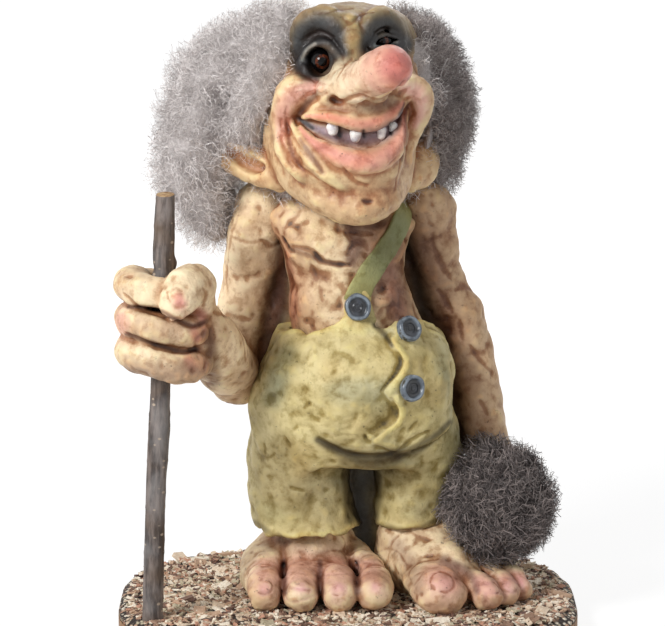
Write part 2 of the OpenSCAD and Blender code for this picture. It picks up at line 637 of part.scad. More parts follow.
// The wig: a lobe at each side and a cap behind, as shares [x, y, height, half width, half depth]
lobes = [
    [[-0.76, 0.16, -0.17, 0.10, 0.14], [-0.80, 0.16, -0.04, 0.19, 0.22], [-0.84, 0.15, 0.13, 0.23, 0.29],
     [-0.85, 0.13, 0.32, 0.24, 0.33], [-0.81, 0.11, 0.51, 0.24, 0.34], [-0.72, 0.10, 0.69, 0.25, 0.34],
     [-0.57, 0.09, 0.82, 0.25, 0.30], [-0.42, 0.09, 0.91, 0.17, 0.19]],
    [[0.53, 0.17, 0.10, 0.09, 0.15], [0.55, 0.18, 0.27, 0.13, 0.24], [0.54, 0.15, 0.49, 0.15, 0.30],
     [0.48, 0.13, 0.67, 0.18, 0.31], [0.38, 0.10, 0.82, 0.18, 0.28], [0.27, 0.09, 0.90, 0.13, 0.17]],
    [[-0.06, 0.24, -0.02, 0.44, 0.27], [-0.06, 0.15, 0.20, 0.56, 0.45], [-0.04, 0.11, 0.44, 0.59, 0.52],
     [0, 0.06, 0.65, 0.53, 0.53], [0, 0.03, 0.81, 0.43, 0.46], [0.01, 0, 0.90, 0.30, 0.32]]];
neck_room = 36;
module hair() {
    color(wool_colour) translate([0, 0, ground_z]) difference() {
        for (l = lobes)
            limb([for (s = l)
                     [s[0]*head_w, s[1]*head_d, chin_z + s[2]*head_h, s[3]*head_w, s[4]*head_d]],
                 18, 2, dome = 0.4, upright = true, lump = 0.06);
        limb(skull, 16, 1, grow = seat_gap + 1, dome = 0.3, upright = true);
        limb([for (z = [rim_z, chin_z + 0.3*head_h]) [-2, 6, z, neck_room, neck_room - 3]],
             16, 1, dome = 0, upright = true);
        ear_form(0, seat_gap);
        ear_form(1, seat_gap);
        strap_form(seat_gap);
        right_arm_form(seat_gap);
        left_arm_form(seat_gap);
    }
}

// Tail, from the seat of the trousers round to the left hand, with its wire and tuft
tail_path = [[4, 32, 84], [9, 43, 76], [20, 53, 60], [38, 57, 47], [58, 51, 44], [73, 36, 54],
             [78, 20, 63], [76, 8, 59], [74, -2, 52]];
module tail_form(grow = 0) {
    r = tail_d / 2;
    limb([for (p = tail_path) concat(p, [r, r])], 8, 2, [0, 0, 1], grow, 0.5);
}
module wire_form(grow = 0) {
    r = wire_d / 2;
    limb([for (p = tail_path) concat(p, [r, r])], 4, 2, [0, 0, 1], grow, 0);
}
module tail() {
    color(skin_colour) translate([0, 0, ground_z]) difference() {
        tail_form();
        wire_form(seat_gap/2);
    }
}
module tail_wire() {
    color("silver") translate([0, 0, ground_z]) wire_form();
}
module tail_tuft() {
    w = tuft_w / 2;
    centre = [74, -10, 48];
    stations = [[-0.42, 0.62, 0.60], [-0.25, 0.92, 0.88], [0, 1, 1], [0.22, 0.9, 0.9], [0.4, 0.6, 0.6]];
    color(wool_colour * 0.8) translate([0, 0, ground_z]) difference() {
        limb([for (s = stations) concat(centre + [0, 0, s[0]*tuft_h], [w*s[1], 0.93*w*s[2]])],
             14, 2, dome = 0.5, upright = true);
        trouser_form(seat_gap);
        left_foot_form(seat_gap);
        left_toes(seat_gap);
        left_arm_form(seat_gap);
        tail_form(seat_gap);
    }
}

// Staff: a cut twig with its bark and knots on
staff_path = let (r = staff_d/2, h = staff_h) [for (s = [
        [0, 0, -staff_seat, 1], [0, 0, 0.5, 1], [2, 1, 0.28*h, 0.94], [4, 2, 0.45*h, 1.04],
        [5, 3, 0.56*h, 0.92], [7, 5, 0.80*h, 0.92], [7, 6, 0.86*h, 1.06], [8, 8, h, 0.88]])
    [s[0] - staff_x, s[1] - staff_y, s[2], s[3]*r, s[3]*r]];
function staff_at(z) =
    let (i = max([for (k = [0:len(staff_path) - 2]) staff_path[k][2] <= z ? k : 0]),
         a = staff_path[i], b = staff_path[i + 1])
    mix(a, b, (z - a[2]) / (b[2] - a[2]));
module staff_form(grow = 0) {
    limb(staff_path, 12, 2, grow = grow, dome = 0.15);
}
module staff() {
    color(bark_colour) translate([0, 0, ground_z]) staff_form();
}

base_board();
ground_cover();
bark_chips();
foot_screws();
right_foot();
left_foot();
trousers();
buttons();
torso();
strap();
right_arm();
left_arm();
head();
left_eye();
right_eye();
teeth();
hair();
tail();
tail_wire();
tail_tuft();
staff();
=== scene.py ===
import math
import bpy
import numpy as np
import openvdb
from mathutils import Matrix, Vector


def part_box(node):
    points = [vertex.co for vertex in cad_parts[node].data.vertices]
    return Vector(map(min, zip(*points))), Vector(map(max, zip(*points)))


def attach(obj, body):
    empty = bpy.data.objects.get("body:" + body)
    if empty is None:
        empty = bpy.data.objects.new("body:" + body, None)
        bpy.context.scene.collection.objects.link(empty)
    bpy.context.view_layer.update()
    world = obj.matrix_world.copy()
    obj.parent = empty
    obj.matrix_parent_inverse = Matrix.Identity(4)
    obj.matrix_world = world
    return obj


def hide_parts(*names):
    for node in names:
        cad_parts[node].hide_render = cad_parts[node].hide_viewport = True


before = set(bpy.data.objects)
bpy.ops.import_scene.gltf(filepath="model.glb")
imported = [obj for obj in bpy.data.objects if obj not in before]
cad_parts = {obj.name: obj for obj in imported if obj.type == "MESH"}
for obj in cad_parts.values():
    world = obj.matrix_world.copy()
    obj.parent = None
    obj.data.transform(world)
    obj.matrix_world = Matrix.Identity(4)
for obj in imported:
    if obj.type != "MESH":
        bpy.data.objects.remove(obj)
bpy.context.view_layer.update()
groundLevel = 1000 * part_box("right_foot")[0].z  # mm, the sculpting below counts heights from here


# the camera and the picture's frame, with lengths in mm
shot = {
    "target": (-7.75, 0.0, 155.4), "distance": 1500.0, "elevation": 11.0, "mmPerPixel": 0.5,
    "middle": (332.5, 313.0), "width": 665,
}


def placeCamera():
    angle = math.radians(shot["elevation"])
    target = Vector(shot["target"]) / 1000
    back = Vector((0, -math.cos(angle), math.sin(angle)))
    data = bpy.data.cameras.new("camera")
    camera = bpy.data.objects.new("camera", data)
    bpy.context.scene.collection.objects.link(camera)
    camera.location = target + back * shot["distance"] / 1000
    camera.rotation_euler = (math.radians(90 - shot["elevation"]), 0, 0)
    data.sensor_width = 36
    data.lens = 36 * shot["distance"] / (shot["width"] * shot["mmPerPixel"])
    data.clip_start, data.clip_end = 0.05, 50
    bpy.context.scene.camera = camera


placeCamera()
print("camera placed")


def smoothMin(a, b, blend):
    share = np.clip(0.5 + 0.5 * (a - b) / blend, 0, 1)
    return a + (b - a) * share - blend * share * (1 - share)


def curveThrough(stations, steps):
    s = np.array(stations, float)
    padded = np.vstack([2 * s[0] - s[1], s, 2 * s[-1] - s[-2]])
    rows = []
    for i in range(len(s) - 1):
        a, b, c, d = padded[i:i + 4]
        for k in range(steps):
            t = k / steps
            rows.append((2 * b + (c - a) * t + (2 * a - 5 * b + 4 * c - d) * t * t + (3 * b - a - 3 * c + d)
                         * t ** 3) / 2)
    rows.append(s[-1])
    return np.array(rows)


def toSegment(x, y, z, a, b):
    along = b - a
    t = ((x - a[0]) * along[0] + (y - a[1]) * along[1] + (z - a[2]) * along[2]) / max(float(along @ along), 1e-9)
    t = np.clip(t, 0, 1)
    far = np.sqrt((x - a[0] - t * along[0]) ** 2 + (y - a[1] - t * along[1]) ** 2 + (z - a[2] - t * along[2]) ** 2)
    return far, t


def photoRay(px, py):
    # from the camera through a pixel of the picture
    angle = math.radians(shot["elevation"])
    target = np.array(shot["target"]) - (0, 0, groundLevel)
    eye = target + shot["distance"] * np.array((0, -math.cos(angle), math.sin(angle)))
    u = (px - shot["middle"][0]) * shot["mmPerPixel"]
    v = (shot["middle"][1] - py) * shot["mmPerPixel"]
    point = target + (u, v * math.sin(angle), v * math.cos(angle))
    way = point - eye
    return eye, unit(way)


def atDepth(px, py, y):
    # the point behind a pixel at a given y
    eye, way = photoRay(px, py)
    return eye + way * (y - eye[1]) / way[1]


def unit(way):
    # the same direction with a length of 1
    return np.array(way, float) / np.linalg.norm(way)


def betweenCorners(values, cell, share):
    # what a lattice holds at a share of the way through each cell
    total = 0
    for dx in (0, 1):
        for dy in (0, 1):
            for dz in (0, 1):
                w = 1
                for k, d in enumerate((dx, dy, dz)):
                    w = w * (share[:, k] if d else 1 - share[:, k])
                total = total + w * values[cell[:, 0] + dx, cell[:, 1] + dy, cell[:, 2] + dz]
    return total


class Clay:
    # signed distances on a grid, in mm, below 0 inside
    def __init__(self, low, high, voxel):
        self.low, self.voxel = np.array(low, float), voxel
        self.axes = [np.arange(a, b + voxel, voxel, dtype=np.float32) for a, b in zip(low, high)]
        self.field = np.full([len(a) for a in self.axes], 60, np.float32)

    def like(self):
        # an empty clay over the same cells
        other = Clay(self.low, self.low, self.voxel)
        other.axes, other.field = self.axes, np.full_like(self.field, 60)
        return other

    def cells(self):
        # x, y and z of the cells, ready to be combined
        x, y, z = self.axes
        return x[:, None, None], y[None, :, None], z[None, None, :]

    def window(self, low, high, reach=0.0):
        spans = tuple(slice(int(np.searchsorted(a, lo - reach)), max(1, int(np.searchsorted(a, hi + reach))))
                      for a, lo, hi in zip(self.axes, low, high))
        x, y, z = (a[s] for a, s in zip(self.axes, spans))
        return spans, x[:, None, None], y[None, :, None], z[None, None, :]

    def join(self, spans, d, blend):
        self.field[spans] = smoothMin(self.field[spans], d, blend)

    def cut(self, spans, d, blend):
        self.field[spans] = -smoothMin(-self.field[spans], d, blend)

    def ball(self, middle, radii, blend=3.0, carve=False):
        m, r = np.array(middle, float), np.array(radii, float) * np.ones(3)
        spans, x, y, z = self.window(m - r, m + r, blend + 3)
        ex, ey, ez = (x - m[0]) / r[0], (y - m[1]) / r[1], (z - m[2]) / r[2]
        k0 = np.sqrt(ex ** 2 + ey ** 2 + ez ** 2)
        k1 = np.sqrt((ex / r[0]) ** 2 + (ey / r[1]) ** 2 + (ez / r[2]) ** 2) + 1e-6
        (self.cut if carve else self.join)(spans, k0 * (k0 - 1) / k1, blend)

    def limb(self, stations, blend=3.0, steps=4, squash=(1, 1, 1), carve=False):
        c = np.array([[*s[:3], sum(s[3:]) / len(s[3:])] for s in curveThrough(stations, steps)])
        scale = np.array(squash, float)
        reach = c[:, 3].max() * scale.max() + blend + 3
        spans, x, y, z = self.window(c[:, :3].min(0), c[:, :3].max(0), reach)
        d = np.full([spans[i].stop - spans[i].start for i in range(3)], 60, np.float32)
        if 0 in d.shape:
            return
        for a, b in zip(c[:-1], c[1:]):
            far, t = toSegment(x / scale[0], y / scale[1], z / scale[2], a[:3] / scale, b[:3] / scale)
            d = np.minimum(d, (far - a[3] - (b[3] - a[3]) * t) * scale.min())
        (self.cut if carve else self.join)(spans, d, blend)

    def loft(self, stations, blend=4.0, cap=6.0, grow=0.0):
        s = curveThrough(stations, 6)
        s[:, 3:] += grow
        reach = s[:, 3:].max() + blend + 4
        spans, x, y, z = self.window(s[:, :3].min(0) - (reach, reach, 4), s[:, :3].max(0) + (reach, reach, 4), 4)
        cx, cy, hw, hd = (np.interp(z.ravel(), s[:, 2], s[:, i])[None, None, :].astype(np.float32)
                          for i in (0, 1, 3, 4))
        ex, ey = (x - cx) / hw, (y - cy) / hd
        k0 = np.sqrt(ex ** 2 + ey ** 2)
        k1 = np.sqrt((ex / hw) ** 2 + (ey / hd) ** 2) + 1e-6
        d = k0 * (k0 - 1) / k1
        for edge in (s[0, 2] - z, z - s[-1, 2]):
            d = -smoothMin(-d, -edge, cap)
        self.join(spans, d, blend)

    def noise(self, size, seed):
        rng = np.random.default_rng(seed)
        sizes = np.array(size, float) * np.ones(3)
        weights, counts = [], []
        for a, step in zip(self.axes, sizes):
            place = (a - a[0]) / step + 1
            n = int(place[-1]) + 4
            off = place[:, None] - np.arange(n)[None, :]
            o = np.abs(off)
            weights.append(np.where(o < 1, 2 / 3 - o ** 2 + o ** 3 / 2,
                                    np.where(o < 2, (2 - o) ** 3 / 6, 0)).astype(np.float32))
            counts.append(n)
        lattice = rng.uniform(-1, 1, counts).astype(np.float32)
        out = np.tensordot(weights[0], lattice, (1, 0))
        out = np.tensordot(out, weights[1], (1, 1)).transpose(0, 2, 1)
        out = np.tensordot(out, weights[2], (2, 1))
        return out / 0.32

    def sample(self, points, values=None):
        f = self.field if values is None else values
        p = (np.asarray(points, float) - self.low) / self.voxel
        i = np.clip(p.astype(int), 0, np.array(f.shape) - 2)
        return betweenCorners(f, i, np.clip(p - i, 0, 1))

    def seen(self, px, py):
        # the first surface point behind a pixel of the picture, or None
        eye, way = photoRay(px, py)
        steps = np.arange(1250, 1620, 0.35)
        points = eye + steps[:, None] * way
        inside = np.all((points > self.low) & (points < [a[-1] for a in self.axes]), 1)
        points = points[inside]
        if not len(points):
            return None
        hits = np.nonzero(self.sample(points) < 0)[0]
        return points[hits[0]] if len(hits) else None

    def onSurface(self, pixels, steps=4):
        found = [self.seen(*p) for p in curveThrough(pixels, steps)]
        return np.array([p for p in found if p is not None])

    def furrows(self, rows, more=1.0):
        # rows of a line of the picture, its width and its depth
        for line, wide, deep in rows:
            self.stroke(line, wide, more * deep)

    def laid(self, rows, steps=4):
        # stations of a limb that lies on the surface along [px, py, height over it, radius]
        found = []
        for px, py, out, r in curveThrough(rows, steps):
            p = self.seen(px, py)
            if p is not None:
                found.append([*(p - out * photoRay(px, py)[1]), r])
        return found

    def stroke(self, pixels, width, depth, points=None):
        # a furrow (depth above 0) or a ridge (below 0) along a line of the picture, or along given points
        c = self.onSurface(pixels) if points is None else curveThrough(points, 4)
        if len(c) < 2:
            return
        spans, x, y, z = self.window(c.min(0), c.max(0), 3 * width)
        q = np.full([spans[i].stop - spans[i].start for i in range(3)], 9, np.float32)
        if 0 in q.shape:
            return
        thick = width * (0.35 + 0.65 * np.sin(np.linspace(0.12, 3.02, len(c))))
        for i in range(len(c) - 1):
            near = tuple(slice(int(np.searchsorted(a.ravel(), min(c[i, k], c[i + 1, k]) - 3 * width)),
                               int(np.searchsorted(a.ravel(), max(c[i, k], c[i + 1, k]) + 3 * width)))
                         for k, a in enumerate((x, y, z)))
            far, t = toSegment(x[near[0]], y[:, near[1]], z[:, :, near[2]], c[i], c[i + 1])
            q[near] = np.minimum(q[near], far / (thick[i] + (thick[i + 1] - thick[i]) * t))
        self.field[spans] += (depth * np.exp(-q ** 2)).astype(np.float32)

    def blurred(self, radius, passes=2):
        f = np.clip(self.field, -2.5 * radius, 2.5 * radius)
        n = max(1, int(round(radius / self.voxel)))
        for _ in range(passes):
            for axis in range(3):
                total = np.cumsum(np.concatenate([np.repeat(f.take([0], axis), n + 1, axis), f,
                                                  np.repeat(f.take([-1], axis), n, axis)], axis), axis,
                                  dtype=np.float64)
                size = f.shape[axis]
                high = np.take(total, range(2 * n + 1, 2 * n + 1 + size), axis)
                low = np.take(total, range(0, size), axis)
                f = ((high - low) / (2 * n + 1)).astype(np.float32)
        return f

    def skin(self):
        grid = openvdb.FloatGrid(60.0)
        grid.copyFromArray(self.field)
        grid.transform = openvdb.createLinearTransform(self.voxel)
        points, quads = grid.convertToQuads(0.0)
        return points + self.low, quads


def newMesh(name, points, faces):
    # points in mm above the ground, faces all of the same number of corners
    mesh = bpy.data.meshes.new(name)
    co = (np.array(points, float) + (0, 0, groundLevel)) / 1000
    faces = np.array(faces)
    n, k = faces.shape
    mesh.vertices.add(len(co))
    mesh.vertices.foreach_set("co", co.astype(np.float32).ravel())
    mesh.loops.add(n * k)
    mesh.loops.foreach_set("vertex_index", faces.astype(np.int32).ravel())
    mesh.polygons.add(n)
    mesh.polygons.foreach_set("loop_start", np.arange(0, n * k, k, dtype=np.int32))
    mesh.polygons.foreach_set("use_smooth", np.ones(n, bool))
    mesh.update(calc_edges=True)
    mesh.validate()
    return mesh


def place(name, mesh, material, slot, *nodes):
    piece = bpy.data.objects.new(name, mesh)
    bpy.context.scene.collection.objects.link(piece)
    piece.data.materials.clear()
    piece.data.materials.append(material)
    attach(piece, "root")
    if nodes:
        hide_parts(*nodes)
    return piece


def volumeOf(points, faces):
    a, b, c = (points[faces[:, i]] for i in range(3))
    total = np.einsum("ij,ij->", a, np.cross(b, c))
    if faces.shape[1] == 4:
        d = points[faces[:, 3]]
        total += np.einsum("ij,ij->", a, np.cross(c, d))
    return total / 6


def outward(points, faces):
    return faces[:, ::-1] if volumeOf(points, faces) < 0 else faces


def ringFaces(rings, turns, first=0):
    # two triangles between each pair of neighbours on rings of points that follow each other
    faces = []
    for i in range(rings - 1):
        for k in range(turns):
            a, b = first + i * turns + k, first + i * turns + (k + 1) % turns
            faces += [(a, b, b + turns), (a, b + turns, a + turns)]
    return faces


def mark(mesh, name, values):
    # one number for each point, for a material to read
    mesh.attributes.new(name, "FLOAT", "POINT").data.foreach_set("value", np.array(values, np.float32))


def markTint(mesh, painted):
    # one colour for each point, and how far it keeps clear of the wash and the painted shade
    tint = np.ones((len(painted), 4), np.float32)
    tint[:, :painted.shape[1]] = painted
    mesh.attributes.new("tint", "FLOAT_COLOR", "POINT").data.foreach_set("color", tint.ravel())


def spreadOut(values):
    # -1 at the 12th and 1 at the 88th percentile
    low, middle, high = np.percentile(values, [12, 50, 88])
    return np.where(values < middle, (values - middle) / (middle - low), (values - middle) / (high - middle))


def cast(name, clay, paint, material, slot, *nodes, bend=None):
    # the clay's skin as a piece, with its paint and how deep each point lies in a small and a wide hollow
    points, quads = clay.skin()
    mesh = newMesh(name, bend(points) if bend else points, outward(points, quads))
    markTint(mesh, paint(points))
    for label, radius in (("hollow", 1.6), ("deep", 5.0)):
        mark(mesh, label, spreadOut(clay.sample(points, clay.blurred(radius))))
    print(name, len(points), "points")
    return place(name, mesh, material, slot, *nodes)


def rgb(red, green, blue):
    # a colour as it is seen on a screen, 0 to 255, made linear
    return tuple(((c / 255 + 0.055) / 1.055) ** 2.4 if c > 10 else c / 255 / 12.92 for c in (red, green, blue))


def rgba(*c):
    return (*rgb(*c), 1.0)


def add(tree, kind, props=None, **inputs):
    # a node with its settings and inputs; i0, i1 ... name an input by its number
    node = tree.nodes.new(kind)
    for key, value in (props or {}).items():
        setattr(node, key, value)
    for key, value in inputs.items():
        numbered = key[0] == "i" and key[1:].isdigit()
        socket = node.inputs[int(key[1:]) if numbered else key.replace("_", " ")]
        if isinstance(value, bpy.types.NodeSocket):
            tree.links.new(value, socket)
        else:
            socket.default_value = value
    return node


def startMaterial(name):
    material = bpy.data.materials.new(name)
    material.use_nodes = True
    tree = material.node_tree
    tree.nodes.clear()
    return material, tree


def endMaterial(tree, shader):
    add(tree, "ShaderNodeOutputMaterial", Surface=shader.outputs[0])


def ranged(tree, value, low, high, toLow=0.0, toHigh=1.0):
    node = add(tree, "ShaderNodeMapRange", {"interpolation_type": "SMOOTHSTEP"}, Value=value, From_Min=low,
               From_Max=high, To_Min=toLow, To_Max=toHigh)
    return node.outputs[0]


def maths(tree, how, a, b):
    return add(tree, "ShaderNodeMath", {"operation": how}, i0=a, i1=b).outputs[0]


def blendColour(tree, share, a, b, how="MIX"):
    node = tree.nodes.new("ShaderNodeMix")
    node.data_type, node.blend_type = "RGBA", how
    for index, value in ((0, share), (6, a), (7, b)):
        if isinstance(value, bpy.types.NodeSocket):
            tree.links.new(value, node.inputs[index])
        else:
            node.inputs[index].default_value = value
    return node.outputs[2]


def speckle(tree, coords, scale, detail=3.0, roughness=0.55):
    return add(tree, "ShaderNodeTexNoise", Vector=coords, Scale=scale, Detail=detail,
               Roughness=roughness).outputs[0]


def paintedCasting(name, washAndShade, grimeAndShade, wearAndHighlight, gloss):
    # painted rubber: each point's tint, mottled, lighter on the ridges as worn paint and painted highlight, with a
    # thin wash in the hollows that is partly the paint's own wash and partly painted shade, near-black painted
    # shade in the deepest ones, and dark pores; hollow and deep are about -1 to 1 over most of a piece
    material, tree = startMaterial(name)
    coords = add(tree, "ShaderNodeTexCoord").outputs["Object"]
    painted = add(tree, "ShaderNodeAttribute", {"attribute_name": "tint"})
    tint = painted.outputs["Color"]
    hollow = add(tree, "ShaderNodeAttribute", {"attribute_name": "hollow"}).outputs["Fac"]
    deep = add(tree, "ShaderNodeAttribute", {"attribute_name": "deep"}).outputs["Fac"]
    broad = speckle(tree, coords, 60, 3)
    patch = speckle(tree, coords, 170, 5, 0.6)
    fine = speckle(tree, coords, 620, 5, 0.62)
    body = blendColour(tree, ranged(tree, broad, 0.40, 0.66, 0.0, 0.55), tint, washAndShade, "MULTIPLY")
    body = blendColour(tree, ranged(tree, patch, 0.50, 0.68, 0.0, 0.6), body, washAndShade, "MULTIPLY")
    # the ridges lighter: worn paint and painted highlight
    raised = maths(tree, "ADD", hollow, maths(tree, "MULTIPLY", patch, -1.6))
    body = blendColour(tree, ranged(tree, raised, -0.5, 0.9, 0.0, 0.6), body, wearAndHighlight, "OVERLAY")
    ragged = maths(tree, "ADD", maths(tree, "MULTIPLY", fine, 1.5), maths(tree, "MULTIPLY", patch, 1.1))
    # where the tint's alpha is low, the wash and the painted shade stay off
    ragged = maths(tree, "ADD", ragged, ranged(tree, painted.outputs["Alpha"], 1, 0, 0, 3))
    near = maths(tree, "ADD", hollow, ragged)
    far = maths(tree, "ADD", deep, ragged)
    # the wash in the small and the broad hollows, partly the paint's own, partly painted shade
    body = blendColour(tree, ranged(tree, near, 1.5, -0.2, 0.0, 0.95), body, washAndShade, "MULTIPLY")
    body = blendColour(tree, ranged(tree, far, 1.2, -0.9, 0.0, 1.0), body, washAndShade, "MULTIPLY")
    # near-black painted shade in the deepest small and broad hollows
    body = blendColour(tree, ranged(tree, near, -0.4, -3.4, 0.0, 0.85), body, grimeAndShade, "MIX")
    body = blendColour(tree, ranged(tree, far, -0.7, -3.4, 0.0, 0.85), body, grimeAndShade, "MIX")
    pore = ranged(tree, speckle(tree, coords, 360, 4, 0.75), 0.635, 0.72)
    body = blendColour(tree, maths(tree, "MULTIPLY", pore, 0.6), body, grimeAndShade, "MIX")
    rough = ranged(tree, patch, 0.3, 0.7, gloss, gloss + 0.2)
    relief = maths(tree, "ADD", maths(tree, "MULTIPLY", fine, 0.8), patch)
    relief = maths(tree, "SUBTRACT", relief, maths(tree, "MULTIPLY", pore, 0.8))
    bump = add(tree, "ShaderNodeBump", Strength=0.6, Distance=0.0008, Height=relief).outputs[0]
    shader = add(tree, "ShaderNodeBsdfPrincipled", Base_Color=body, Roughness=rough, Normal=bump)
    shader.inputs["Specular IOR Level"].default_value = 0.4
    endMaterial(tree, shader)
    return material


# wash and painted shade, pores and deepest painted shade, worn paint and painted highlight, then gloss
skinPaint = paintedCasting("skin paint", rgba(197, 172, 154), rgba(40, 26, 22), rgba(222, 214, 200), 0.42)
trouserPaint = paintedCasting("trouser paint", rgba(194, 184, 146), rgba(38, 32, 20), rgba(216, 210, 190), 0.45)
print("paints mixed")

# the figure's main forms, with heights in mm above the ground
figure = {
    "legTop": 68, "rim": 142, "chin": 194, "belly": (50, 42), "trunk": (31.5, 27), "skull": (43.5, 47, 105),
    "armR": 13.5, "fingerR": 8.5,
}


def raisedBy(rows, height):
    return [[*r[:2], r[2] + height, *r[3:]] for r in rows]


# each row of a form is its middle's x and y, the height, half the width and half the depth
def bellyForm():
    w, d = figure["belly"]
    return raisedBy([[3, 1, 0, .90 * w, .78 * d], [2, -2, 15, .99 * w, .92 * d], [2, -4, 30, w, d],
                     [3, -5, 46, .97 * w, d], [4, -4, 60, .88 * w, .92 * d], [4, -2, 74, .74 * w, .78 * d]],
                    figure["legTop"])


def trunkForm():
    w, d = figure["trunk"]
    return raisedBy([[4, -3, -24, .92 * w, .90 * d], [5, -3, -10, 1.02 * w, d], [3, -2, 0, 1.04 * w, 1.02 * d],
                     [-1, 1, 18, .94 * w, d], [-2, 3, 34, w, d], [-3, 6, 50, 1.06 * w, .92 * d],
                     [-3, 8, 60, .72 * w, .70 * d], [-2, 4, 70, .50 * w, .55 * d]], figure["rim"])


def skullForm():
    w, d, h = figure["skull"]
    return raisedBy([[5, -44, 0, .30 * w, .24 * d], [4, -40, .05 * h, .50 * w, .40 * d],
                     [1, -31, .15 * h, .78 * w, .66 * d], [-1, -20, .28 * h, .95 * w, .92 * d],
                     [-2, -14, .43 * h, w, d], [-1, -11, .58 * h, .94 * w, .98 * d],
                     [0, -9, .72 * h, .83 * w, .94 * d], [1, -9, .85 * h, .74 * w, .88 * d],
                     [1, -14, .925 * h, .64 * w, .73 * d], [1, -20, .97 * h, .50 * w, .53 * d],
                     [1, -25, h, .28 * w, .30 * d]], figure["chin"])


def onForm(form, angle, height, out=0.0):
    # the point of an upright form at a height, turned from the front, moved out
    s = curveThrough(form, 6)
    cx, cy, hw, hd = (np.interp(height, s[:, 2], s[:, i]) for i in (0, 1, 3, 4))
    a = math.radians(angle)
    return np.array([cx + (hw + out) * math.sin(a), cy - (hd + out) * math.cos(a), height])


def onFace(angle, share, out=0.0):
    return onForm(skullForm(), angle, figure["chin"] + share * figure["skull"][2], out)


def faceLimb(clay, rows, blend):
    clay.limb([[*onFace(*r[:3]), *r[3:]] for r in rows], blend)


def dab(points, tint, spots, radius, colour, strength=1.0, hard=1.0):
    # lays a colour near a line of spots
    c = np.array(spots, float)
    q = np.full(len(points), 1e9)
    if len(c) == 1:
        c = np.vstack([c, c + 1e-3])
    for a, b in zip(c[:-1], c[1:]):
        far, _ = toSegment(points[:, 0], points[:, 1], points[:, 2], a, b)
        q = np.minimum(q, far)
    share = strength * np.exp(-(q / radius) ** (2 * hard))
    tint += share[:, None] * (np.array(rgb(*colour)) - tint)


def inPicture(points):
    # where points fall in the picture
    angle = math.radians(shot["elevation"])
    p = points - (np.array(shot["target"]) - (0, 0, groundLevel))
    far = shot["distance"] + p[:, 1] * math.cos(angle) - p[:, 2] * math.sin(angle)
    scale = shot["distance"] / far / shot["mmPerPixel"]
    return np.column_stack([shot["middle"][0] + p[:, 0] * scale,
                            shot["middle"][1] - (p[:, 1] * math.sin(angle) + p[:, 2] * math.cos(angle)) * scale])


def brush(seen, tint, front, rows, colour, strength=0.9, hard=1.5):
    # paints along a line of the picture, [px, py, half width in px], on the points that face it
    c = curveThrough(rows, 4)
    share = np.zeros(len(seen))
    for a, b in zip(c[:-1], c[1:]):
        along = b[:2] - a[:2]
        t = np.clip(((seen - a[:2]) @ along) / max(along @ along, 1e-9), 0, 1)
        far = np.linalg.norm(seen - a[:2] - t[:, None] * along, axis=1) / (a[2] + (b[2] - a[2]) * t)
        share = np.maximum(share, np.exp(-far ** (2 * hard)))
    tint += (strength * front * share)[:, None] * (np.array(rgb(*colour)) - tint)


def speckled(points, size, seed):
    # a smooth random number at each point, about -1 to 1, from a coarse lattice
    rng = np.random.default_rng(seed)
    low = points.min(0) - size
    n = np.ceil((points.max(0) - low) / size).astype(int) + 3
    lattice = rng.uniform(-1, 1, n)
    p = (points - low) / size
    i = p.astype(int)
    t = p - i
    return betweenCorners(lattice, i, t * t * (3 - 2 * t))


def roughen(clay, lumps=0.9, dents=0.45, pits=0.35, cracks=0.5, seed=1, creases=0.0, creaseSize=(14, 14, 3.2)):
    # hand-modelled clay: broad lumps, dents, pits and soft creases
    f = clay.field
    f += lumps * clay.noise(11, seed)
    f += dents * clay.noise(5, seed + 1)
    small = clay.noise(2.4, seed + 2)
    f += 0.22 * small + pits * np.clip(small - 0.75, 0, 1)
    line = np.abs(clay.noise(9, seed + 3)) / 0.5
    where = np.clip(clay.noise(14, seed + 4) * 1.2, 0, 1)
    f += 0.5 * cracks * np.clip(1 - line, 0, 1) ** 2 * where
    if creases:
        line = np.abs(clay.noise(creaseSize, seed + 5)) / 0.45
        f += 0.8 * creases * np.clip(1 - line, 0, 1) ** 2 * np.clip(clay.noise(15, seed + 6), 0, 1)


flesh = (236, 212, 174)


def brushAll(points, tint, rows, before):
    # brushes each row's line on the points whose y is below a limit
    seen, front = inPicture(points), (points[:, 1] < before).astype(float)
    for line, colour, strength in rows:
        brush(seen, tint, front, line, colour, strength)


def bodyPaint(points, base, rosesAndShade=(), seed=5):
    # the base colour, mottled at random, then dabs of rosy paint and of painted shade
    tint = np.ones((len(points), 3)) * np.array(rgb(*base))
    tint *= (1 + 0.10 * speckled(points, 13, seed))[:, None]
    for spots, radius, colour, strength in rosesAndShade:
        dab(points, tint, spots, radius, colour, strength)
    return np.clip(tint, 0, 1)


